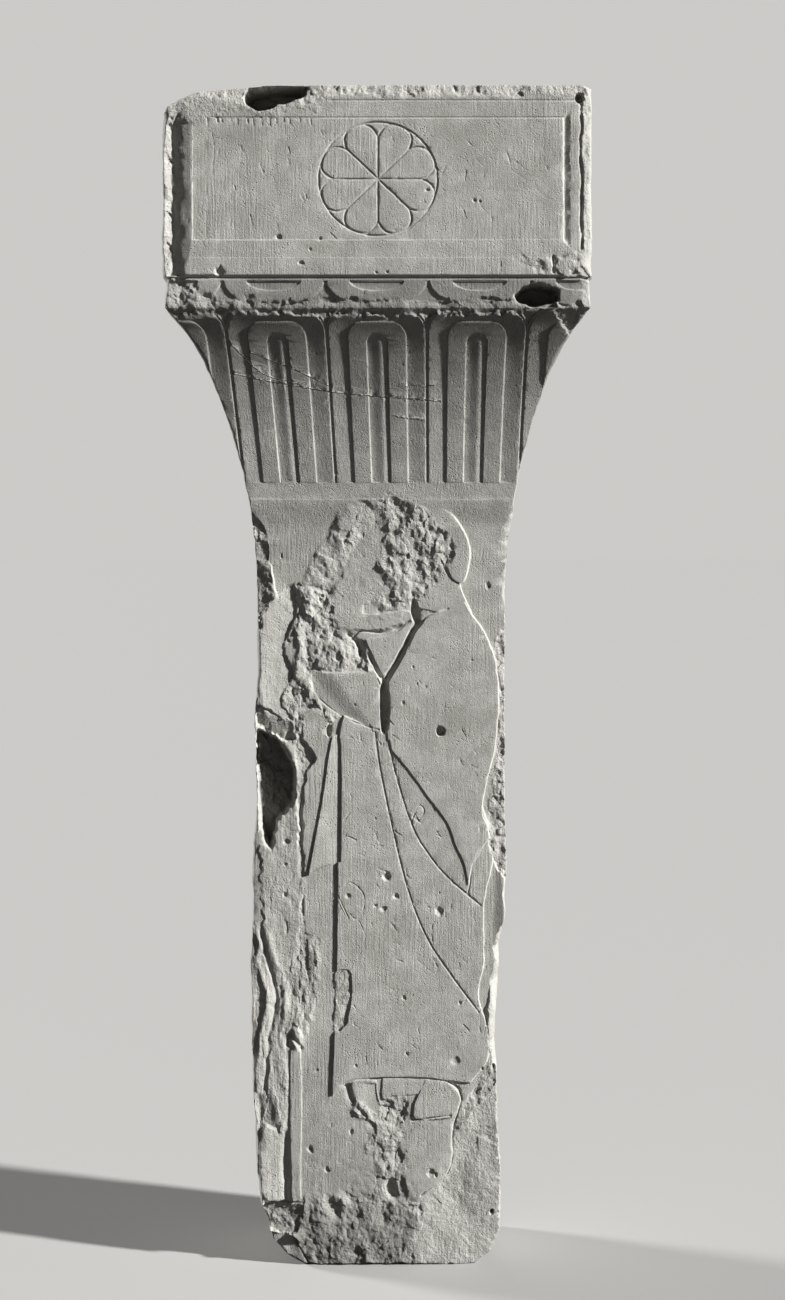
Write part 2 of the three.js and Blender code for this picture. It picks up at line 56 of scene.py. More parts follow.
form = {
    "footHeight": 72, "fieldHeight": 819, "fasciaHeight": 18, "leavesHeight": 196, "lipHeight": 34,
    "shaftWidth": 293, "shaftDepth": 165, "frontFlare": 92, "shaftShift": 5.5, "lipSetback": 3.5,
    "flareLength": 330, "figureHeight": 814,
}
top = cadBox[1].z / mm
blockWidth = (cadBox[1].x - cadBox[0].x) / mm
backY = cadBox[1].y / mm
fieldBottom = form["footHeight"]
fieldTop = fieldBottom + form["fieldHeight"]
fasciaTop = fieldTop + form["fasciaHeight"]
lipBottom = fasciaTop + form["leavesHeight"]
lipTop = lipBottom + form["lipHeight"]
shaftFront = backY - form["shaftDepth"]
blockFront = shaftFront - form["frontFlare"]
sideFlare = (blockWidth - form["shaftWidth"]) / 2

# The photograph's camera: how far it stands from the shaft's front, and where its axis meets the picture.
photo = {"width": 785, "height": 1300, "axis": (339, 514), "distance": 2600, "scale": 1.16,
         "originPixel": (376.6, 1267)}


def ease(x, a, b):  # 0 at a, 1 at b, with a smooth start and end
    t = np.clip((x - a) / (b - a), 0, 1)
    return t * t * (3 - 2 * t)


def mix(a, b, share):  # a where share is 0, b where it is 1
    return a + (b - a) * share


def flareShare(z):  # 0.85 t^2 + 0.15 t^10, where t runs from 0 at the flare's foot to 1 at the lip
    t = np.clip((z - lipBottom + form["flareLength"]) / form["flareLength"], 0, 1)
    return 0.85 * t ** 2 + 0.15 * t ** 10


def overhang(z, flare):  # flare share times the flare, and the full flare on the block
    return np.where(z > lipTop, flare, (flare - form["lipSetback"]) * flareShare(z))


def frontPlane(z):
    return shaftFront - overhang(z, form["frontFlare"])


def onStone(px, py):  # millimetres on the front for a pixel of the photograph, allowing for the flare
    z = (photo["originPixel"][1] - py) * photo["scale"]
    for _ in range(6):
        nearer = photo["distance"] / (photo["distance"] - float(overhang(z, form["frontFlare"])))
        qx = photo["axis"][0] + (px - photo["axis"][0]) / nearer
        qy = photo["axis"][1] + (py - photo["axis"][1]) / nearer
        z = (photo["originPixel"][1] - qy) * photo["scale"]
    return (qx - photo["originPixel"][0]) * photo["scale"], z


def fromPhoto(pixels):
    return np.array([onStone(px, py) for px, py in pixels])


def onFigure(shares):  # millimetres for thousandths of the figure's height
    unit = form["figureHeight"] / 1000
    return np.array(shares, float) * unit + (form["shaftShift"], fieldBottom)


def curved(points, spans=4, closed=False):  # Catmull-Rom curve through the points
    p = np.asarray(points, float)
    q = np.vstack([p[-1], p, p[0], p[1]]) if closed else np.vstack([2 * p[0] - p[1], p, 2 * p[-1] - p[-2]])
    t = np.linspace(0, 1, spans, endpoint=False)[:, None]
    a, b, c, d = (q[i:len(q) - 3 + i, None] for i in range(4))
    bend, twist = 2 * a - 5 * b + 4 * c - d, 3 * b - a - 3 * c + d
    line = 0.5 * (2 * b + (c - a) * t + bend * t ** 2 + twist * t ** 3)
    line = line.reshape(-1, p.shape[1])
    return line if closed else np.vstack([line, p[-1]])


def runs(*parts):  # closed outline of smooth runs that meet in sharp corners
    following = parts[1:] + parts[:1]
    return np.vstack([curved(part + after[:1], 3)[:-1] for part, after in zip(parts, following)])


def noise(x, z, cell, seed):  # random heights from -1 to 1 on a lattice of cells, eased between them
    table = np.random.default_rng(seed).uniform(-1, 1, (257, 257))
    gx, gz = x / cell + 1000.5, z / cell + 1000.5
    ix, iz = np.floor(gx).astype(int), np.floor(gz).astype(int)
    fx, fz = gx - ix, gz - iz
    fx, fz = fx * fx * (3 - 2 * fx), fz * fz * (3 - 2 * fz)
    ix, iz = ix % 256, iz % 256
    low = mix(table[iz, ix], table[iz, ix + 1], fx)
    high = mix(table[iz + 1, ix], table[iz + 1, ix + 1], fx)
    return mix(low, high, fz)


def fractal(x, z, cell, octaves, seed, gain=0.5):  # noise of ever smaller cells and heights, summed
    total, size = 0, 1
    for k in range(octaves):
        turn = 0.7 * k
        u, v = x * math.cos(turn) - z * math.sin(turn), x * math.sin(turn) + z * math.cos(turn)
        total = total + size * noise(u, v, cell / 2 ** k, seed + k)
        size *= gain
    return total


def facets(x, z, cell, seed):  # height of a patchwork of tilted planes, one for each scattered seed point
    rng = np.random.default_rng(seed)
    jitter, tilt = rng.random((256, 256, 2)), rng.uniform(-1, 1, (256, 256, 3))
    gx, gz = x / cell + 1000, z / cell + 1000
    ix, iz = np.floor(gx).astype(int), np.floor(gz).astype(int)
    nearest, height = np.full(np.shape(x), 9.0), np.zeros(np.shape(x))
    for dx in (-1, 0, 1):
        for dz in (-1, 0, 1):
            cx, cz = (ix + dx) % 256, (iz + dz) % 256
            ox, oz = gx - ix - dx - jitter[cz, cx, 0], gz - iz - dz - jitter[cz, cx, 1]
            far = ox ** 2 + oz ** 2
            plane = tilt[cz, cx, 0] * ox + tilt[cz, cx, 1] * oz + 0.5 * tilt[cz, cx, 2]
            height = np.where(far < nearest, plane, height)
            nearest = np.minimum(far, nearest)
    return height


def toLine(x, z, line, reach=12, closed=False):  # distance to a line drawn on the front, up to the reach
    line = np.asarray(line, float)
    if closed:
        line = np.vstack([line, line[:1]])
    far = np.full(x.shape, float(reach))
    low, high = line.min(0) - reach, line.max(0) + reach
    near = (x > low[0]) & (x < high[0]) & (z > low[1]) & (z < high[1])
    px, pz = x[near], z[near]
    best = np.full(px.shape, float(reach))
    for (ax, az), (bx, bz) in zip(line[:-1], line[1:]):
        length = (bx - ax) ** 2 + (bz - az) ** 2 + 1e-9
        t = np.clip(((px - ax) * (bx - ax) + (pz - az) * (bz - az)) / length, 0, 1)
        best = np.minimum(best, np.hypot(px - ax - t * (bx - ax), pz - az - t * (bz - az)))
    far[near] = best
    return far


def inside(x, z, outline, reach=12):  # distance to a closed outline, above 0 inside it
    outline = np.asarray(outline, float)
    within = np.zeros(x.shape, bool)
    low, high = outline.min(0), outline.max(0)
    near = (x > low[0]) & (x < high[0]) & (z > low[1]) & (z < high[1])
    px, pz = x[near], z[near]
    odd = np.zeros(px.shape, bool)
    for (ax, az), (bx, bz) in zip(outline, np.roll(outline, -1, 0)):
        if az != bz:
            odd ^= ((az > pz) != (bz > pz)) & (px < ax + (pz - az) * (bx - ax) / (bz - az))
    within[near] = odd
    return np.where(within, 1, -1) * toLine(x, z, outline, reach, True)


def oval(x, z, centre, radii, turn=0):  # 1 at the middle of an ellipse, 0 on its edge, negative outside
    c, s = math.cos(math.radians(turn)), math.sin(math.radians(turn))
    dx, dz = x - centre[0], z - centre[1]
    return 1 - np.hypot((dx * c + dz * s) / radii[0], (dz * c - dx * s) / radii[1])


# The relief

leaves = {
    "footPitch": 105.6, "topPitch": 114.6, "topShift": -2, "depth": 1.7, "archTop": 1, "archRadius": 26,
    "bandShare": 0.29, "bandTop": 15, "bandRadius": 17, "bandDepth": 0.2, "channelShare": 0.105,
    "channelTop": 28, "channelRadius": 10.47375, "channelDepth": 1.9, "groove": 1.5, "grooveHalf": 1.8,
    "between": 0.9,
}
# The rib's section across a channel: the place from -1 at the left to 1 at the right, and the depth.
leafRib = [(-0.7, 1.9), (-0.3, 1.55), (0.1, 0.8), (0.4, 0.5), (0.65, 0.75), (0.9, 1.5)]


def roundTop(s, z, half, height, radius):  # signed distance to an upright bar with a round-cornered top
    qx, qz = np.abs(s) - half + radius, z - height + radius
    return np.minimum(np.maximum(qx, qz), 0) + np.hypot(np.maximum(qx, 0), np.maximum(qz, 0)) - radius


def carveLeaves(x, z):
    up = np.clip((z - fasciaTop) / form["leavesHeight"], 0, 1)
    pitch = mix(leaves["footPitch"], leaves["topPitch"], up)
    axis = mix(form["shaftShift"], leaves["topShift"], up)
    number = np.clip(np.round((x - axis) / pitch), -2, 2)
    s = x - axis - number * pitch
    leaf = roundTop(s, z, pitch / 2, lipBottom - leaves["archTop"], leaves["archRadius"])
    band = roundTop(s, z, leaves["bandShare"] * pitch, lipBottom - leaves["bandTop"], leaves["bandRadius"])
    half = leaves["channelShare"] * pitch
    channel = roundTop(s, z, half, lipBottom - leaves["channelTop"], leaves["channelRadius"])
    full = leaves["depth"]
    t = np.clip(-leaf, 0, None) / (np.clip(-leaf, 0, None) + np.clip(band, 0, None) + 1e-6)
    cove = full * np.sin(0.5 * math.pi * np.clip(t, 0, 1)) ** 1.4  # from the crest down to the band's foot
    depth = mix(cove, leaves["bandDepth"], ease(-band, -1.6, 0.8))
    # the channel's floor climbs to the right as a rounded rib and drops again before the band
    rib = np.interp(s / half, *np.array(leafRib).T)
    floor = mix(leaves["channelDepth"], rib, ease(-channel, 0, 9))
    depth = mix(depth, floor, ease(-channel, -0.9, 0.9))
    depth = np.maximum(depth, leaves["groove"] * (1 - np.abs(leaf + 0.6) / leaves["grooveHalf"]))
    depth = mix(depth, full + leaves["between"], ease(leaf, 0.4, 2.2))  # sunk between the arches
    zone = (z > fasciaTop) & (z < lipBottom)
    return np.where(zone, mix(relief["fascia"], depth, ease(z, fasciaTop, fasciaTop + 2)), 0)


tips = {
    "fillet": 4, "footGap": 1, "sunk": 1.9, "line": 2.0, "lineWidth": 3.6, "scoop": 1.7, "scoopShare": 0.26,
    "scoopHeight": 11, "lean": 0.13, "shift": 1.6, "edgeScale": 38, "scoopScale": 18, "crack": 4,
    "crackHalf": 2.0,
}


def carveTips(x, z):  # drooping tips: half ellipses that hang from the fillet, cut out by a line
    pitch = leaves["topPitch"] + 1
    s = x + tips["shift"]
    s = s - np.round(s / pitch) * pitch
    hang = lipTop - tips["fillet"] - z
    drop = form["lipHeight"] - tips["fillet"] - tips["footGap"]
    edge = (np.hypot(s / (pitch / 2), hang / drop) - 1) * tips["edgeScale"]
    line = tips["line"] * np.clip(1 - 2 * np.abs(edge) / tips["lineWidth"], 0, 1)
    depth = tips["sunk"] * ease(edge, 0, 2.5) + line
    scoop = np.hypot(s / (tips["scoopShare"] * pitch), hang / tips["scoopHeight"]) - 1
    depth = depth + tips["scoop"] * ease(-scoop * tips["scoopScale"], -1, 1) + tips["lean"] * hang
    zone = (z > lipBottom) & (hang > 0)
    crack = tips["crack"] * np.clip(1 - np.abs(z - lipTop - 0.5) / tips["crackHalf"], 0, 1)
    return np.where(zone, depth, 0) + crack


panel = {"sideMargin": 16, "topMargin": 17, "footMargin": 20, "moulding": 21, "sunk": 0.2, "tilt": 0.7,
         "rosette": (133, 127), "grooveWidth": 3.4, "grooveDepth": 2.0, "fork": 0.74, "petals": 8,
         "unevenLeft": 2.4, "unevenRight": 1.0}
# The frame's section on each side of the panel: distance outwards from the panel's edge, depth.
sections = {
    "right": [(0.3, 3.2), (2, 3.2), (8, 1.0), (17, 1.2), (19, 3.0), (20.5, 3.0), (22, 0.4)],
    "left": [(0.3, 0.2), (4, 1.0), (10, 2.6), (15, 4.4), (21, 6.6), (23, 6.6), (26, 4.6), (31, 1.8),
             (37, 0.2)],
    "top": [(0.3, 1.4), (1.6, 0.4), (18.5, 0.4), (19.5, 1.3), (20.8, 0.2)],
    "foot": [(0.3, 0.4), (19, 0.6), (20.5, 0.1)],
}


def carveBlock(x, z):
    halfWidth = blockWidth / 2 - panel["sideMargin"] - panel["moulding"]
    low = lipTop + panel["footMargin"] + panel["moulding"]
    high = top - panel["topMargin"] - panel["moulding"]
    middle, halfHeight = (low + high) / 2, (high - low) / 2
    uneven = fractal(x, z, cell=20, octaves=4, seed=335, gain=0.6)
    uneven = uneven * np.where(x > 0, panel["unevenRight"], panel["unevenLeft"])
    outX, outZ = np.abs(x) - halfWidth, np.abs(z - middle) - halfHeight
    outX = outX + uneven * ease(outX, 1, 12)
    across = np.where(x > 0, np.interp(outX, *np.array(sections["right"]).T),
                      np.interp(outX, *np.array(sections["left"]).T))
    along = np.where(z > middle, np.interp(outZ, *np.array(sections["top"]).T),
                     np.interp(outZ, *np.array(sections["foot"]).T))
    down, leftwards = np.clip((high - z) / (high - low), 0, 1), np.clip(0.5 - 0.5 * x / halfWidth, 0, 1)
    inner = panel["sunk"] + panel["tilt"] * (down + leftwards)
    # the frame meets in mitres, but its left side runs on down past the panel
    depth = mix(along, across, ease(outX - outZ * np.where((x < 0) & (z < middle), 0.25, 1), -3, 3))
    depth = mix(inner, depth, ease(np.maximum(outX, outZ), -1, 0.3))
    wide, tall = panel["rosette"]
    cut = np.full(x.shape, 12.0)
    half = math.pi / panel["petals"]

    def spot(radius, angle):
        return radius * math.sin(angle) * wide / 2, middle + radius * math.cos(angle) * tall / 2

    cut = np.minimum(cut, toLine(x, z, [spot(1, a) for a in np.linspace(0, 2 * math.pi, 73)]))
    for k in range(panel["petals"]):
        spoke = 2 * half * k
        cut = np.minimum(cut, toLine(x, z, [spot(0, spoke), spot(panel["fork"], spoke)]))
        bend = np.linspace(-1, 1, 13)
        reach = mix(1, panel["fork"], np.abs(bend) ** 2.6)
        turn = spoke + half + half * np.sign(bend) * np.abs(bend) ** 0.85
        cut = np.minimum(cut, toLine(x, z, [spot(r, a) for r, a in zip(reach, turn)]))
    worn = 0.8 + 0.3 * noise(x, z, cell=14, seed=41)
    depth = depth + worn * panel["grooveDepth"] * np.clip(1 - cut / (panel["grooveWidth"] / 2), 0, 1)
    return np.where(z > lipTop + 2, depth, 0)


relief = {"depth": 3.9, "topDepth": 0.2, "fascia": 0.8, "runOut": 34, "rise": 3.0, "riseWidth": 17,
          "riseHeights": (300, 330, 470, 560), "edge": 1.1, "uneven": 0.4}


def groundDepth(x, z):  # even, but climbing to the right arris, and shallower under the fascia
    right = form["shaftShift"] + form["shaftWidth"] / 2
    rise = relief["rise"] * np.interp(z, relief["riseHeights"], [0, 1, 1, 0])
    depth = relief["depth"] - rise * ease(x, right - relief["riseWidth"], right)
    return mix(depth, relief["topDepth"], ease(z, fieldTop - relief["runOut"], fieldTop))


# Layers of the figure: the depth below the front, and an outline in thousandths of the figure's height.
cloak = {"depth": 0.2, "outline": runs(
    [(118, 858), (129, 840), (142, 823), (153, 801), (162, 774), (166, 741), (166, 702), (161, 651),
     (152, 613), (143, 565), (149, 543)],
    [(156, 527), (139, 501), (128, 480)],
    [(124, 457), (119, 486), (105, 516), (94, 546), (75, 571), (37, 623), (14, 651)],
    [(9, 672), (10, 712)],
    [(10, 754), (28, 782)],
    [(54, 823), (64, 836), (78, 845), (94, 849)])}
robe = {"depth": 1.5, "outline": runs(
    [(-52, 702)],
    [(-60, 667), (-61, 577), (-62, 427), (-64, 300), (-69, 178)],
    [(-70, 155)],
    [(-52, 171), (-6, 181), (29, 182), (64, 181), (91, 177)],
    [(126, 174), (141, 192), (153, 215), (148, 262), (138, 292)],
    [(139, 315), (146, 349), (146, 430), (159, 491)],
    [(156, 527), (126, 605)],
    [(20, 719)])}
sleeve = {"depth": 1.3, "bend": 3.3, "bendWidth": 24, "lowerLeft": (311, 676), "outline": runs(
    [(-100, 759), (-59, 758)],
    [(-10, 761)],
    [(0, 745)],
    [(0, 672), (-32, 688), (-53, 697), (-80, 712), (-97, 735)])}
chest = {"depth": 2.8, "outline": runs(
    [(-22, 805), (20, 813)],
    [(38, 830), (52, 865)],
    [(84, 883), (121, 856)],
    [(94, 845), (54, 816)],
    [(12, 754)],
    [(2, 754)])}
neck = {"depth": 1.8, "outline": runs(
    [(112, 886), (116, 870)],
    [(128, 845), (94, 842)],
    [(50, 852), (52, 885)],
    [(84, 912), (94, 915)])}
cap = {"depth": 0.9, "outline": runs(
    [(92, 915), (101, 895)],
    [(111, 886), (118, 892), (124, 915), (125, 936), (116, 960), (102, 980), (84, 993), (62, 1000)],
    [(38, 1001)],
    [(32, 987), (62, 979), (84, 962), (94, 940)])}
hangingFold = {"depth": 2.9, "outline": runs(
    [(-90, 719), (-72, 672)],
    [(-77, 634), (-87, 563), (-99, 506)],
    [(-104, 473)],
    [(-114, 473), (-117, 520), (-112, 670), (-109, 702)])}
innerFold = {"depth": 0.9, "tilt": 3.2, "outline": runs(
    [(-70, 667), (-58, 655)],
    [(-58, 489), (-90, 479)],
    [(-104, 470), (-96, 513), (-84, 577), (-76, 634)])}
frontFoot = {"depth": 2.1, "tilt": 2.2, "top": 172, "outline": runs(
    [(-40, 177)],
    [(-8, 177), (-6, 155), (0, 135)],
    [(-6, 127), (-22, 138), (-35, 148), (-42, 164)])}
ankle = {"depth": 2.7, "outline": runs([(2, 179)], [(64, 178), (55, 158)], [(15, 155), (2, 150)])}
heel = {"depth": 2.0, "outline": runs(
    [(64, 178), (91, 175), (106, 164), (114, 144)],
    [(101, 124), (69, 121), (47, 123)],
    [(49, 147)])}
staff = {"depth": 2.6, "outline": runs(
    [(-129, 221)], [(-116, 226), (-114, 150)], [(-116, 3)], [(-127, 3), (-130, 120)])}
foldLines = {
    "long": [(-9, 674), (-2, 623), (15, 541), (37, 452), (64, 382), (98, 329), (139, 274)],
    "short": [(11, 660), (20, 615), (44, 540), (67, 500), (95, 466), (142, 426)],
}
foldCut = {"width": 3.4, "depth": 1.2}


def layOver(depth, x, z, layer, edge=None):  # the layer's depth inside its outline, with a sloped edge
    edge = edge or relief["edge"]
    uneven = relief["uneven"] * fractal(x, z, cell=12, octaves=2, seed=331)
    share = ease(inside(x, z, onFigure(layer["outline"])) + uneven, -edge, 0.3)
    return mix(depth, np.minimum(depth, layer["depth"]), share)


def tilted(depth, x, z, layer, surface):  # the layer's own sloping surface inside its outline
    return mix(depth, surface, ease(inside(x, z, onFigure(layer["outline"])), -0.8, 0.4))


def carveFigure(x, z):
    depth = groundDepth(x, z) * ease(z, fieldBottom - 1, fieldBottom + 1)
    for layer in (hangingFold, staff, ankle, heel, frontFoot, chest, neck):
        depth = layOver(depth, x, z, layer)
    depth = layOver(depth, x, z, robe, 1.4)
    # the inner fold and the front foot lie tilted, deeper to the right
    fold = onFigure([(-104, 470), (-72, 667), (-58, 0)])
    left = np.interp(z, fold[:2, 1], fold[:2, 0])
    share = np.clip((x - left) / (fold[2, 0] - left), 0, 1)
    depth = tilted(depth, x, z, innerFold, innerFold["depth"] + innerFold["tilt"] * share)
    share = ease(x, *onFigure([(-40, 0), (0, 0)])[:, 0])
    surface = tilted(depth, x, z, frontFoot, frontFoot["depth"] + frontFoot["tilt"] * share)
    depth = np.where(z < onFigure([(0, frontFoot["top"])])[0, 1], surface, depth)
    # the sleeve bends away towards its lower left edge
    edgeX, edgeZ = onStone(*sleeve["lowerLeft"])
    share = ease(0.8 * (x - edgeX) + 0.6 * (z - edgeZ), sleeve["bendWidth"], 0)
    depth = tilted(depth, x, z, sleeve, sleeve["depth"] + sleeve["bend"] * share)
    depth = layOver(depth, x, z, cloak, 1.6)
    depth = layOver(depth, x, z, cap, 2.4)
    for line in foldLines.values():
        far = toLine(x, z, curved(onFigure(line)))
        depth = depth + foldCut["depth"] * np.clip(1 - far / (foldCut["width"] / 2), 0, 1)
    return np.where(z < fieldTop, depth, relief["fascia"] * (z < fasciaTop))


# Wear and losses. Places are pixels of the photograph, sizes and depths are millimetres.

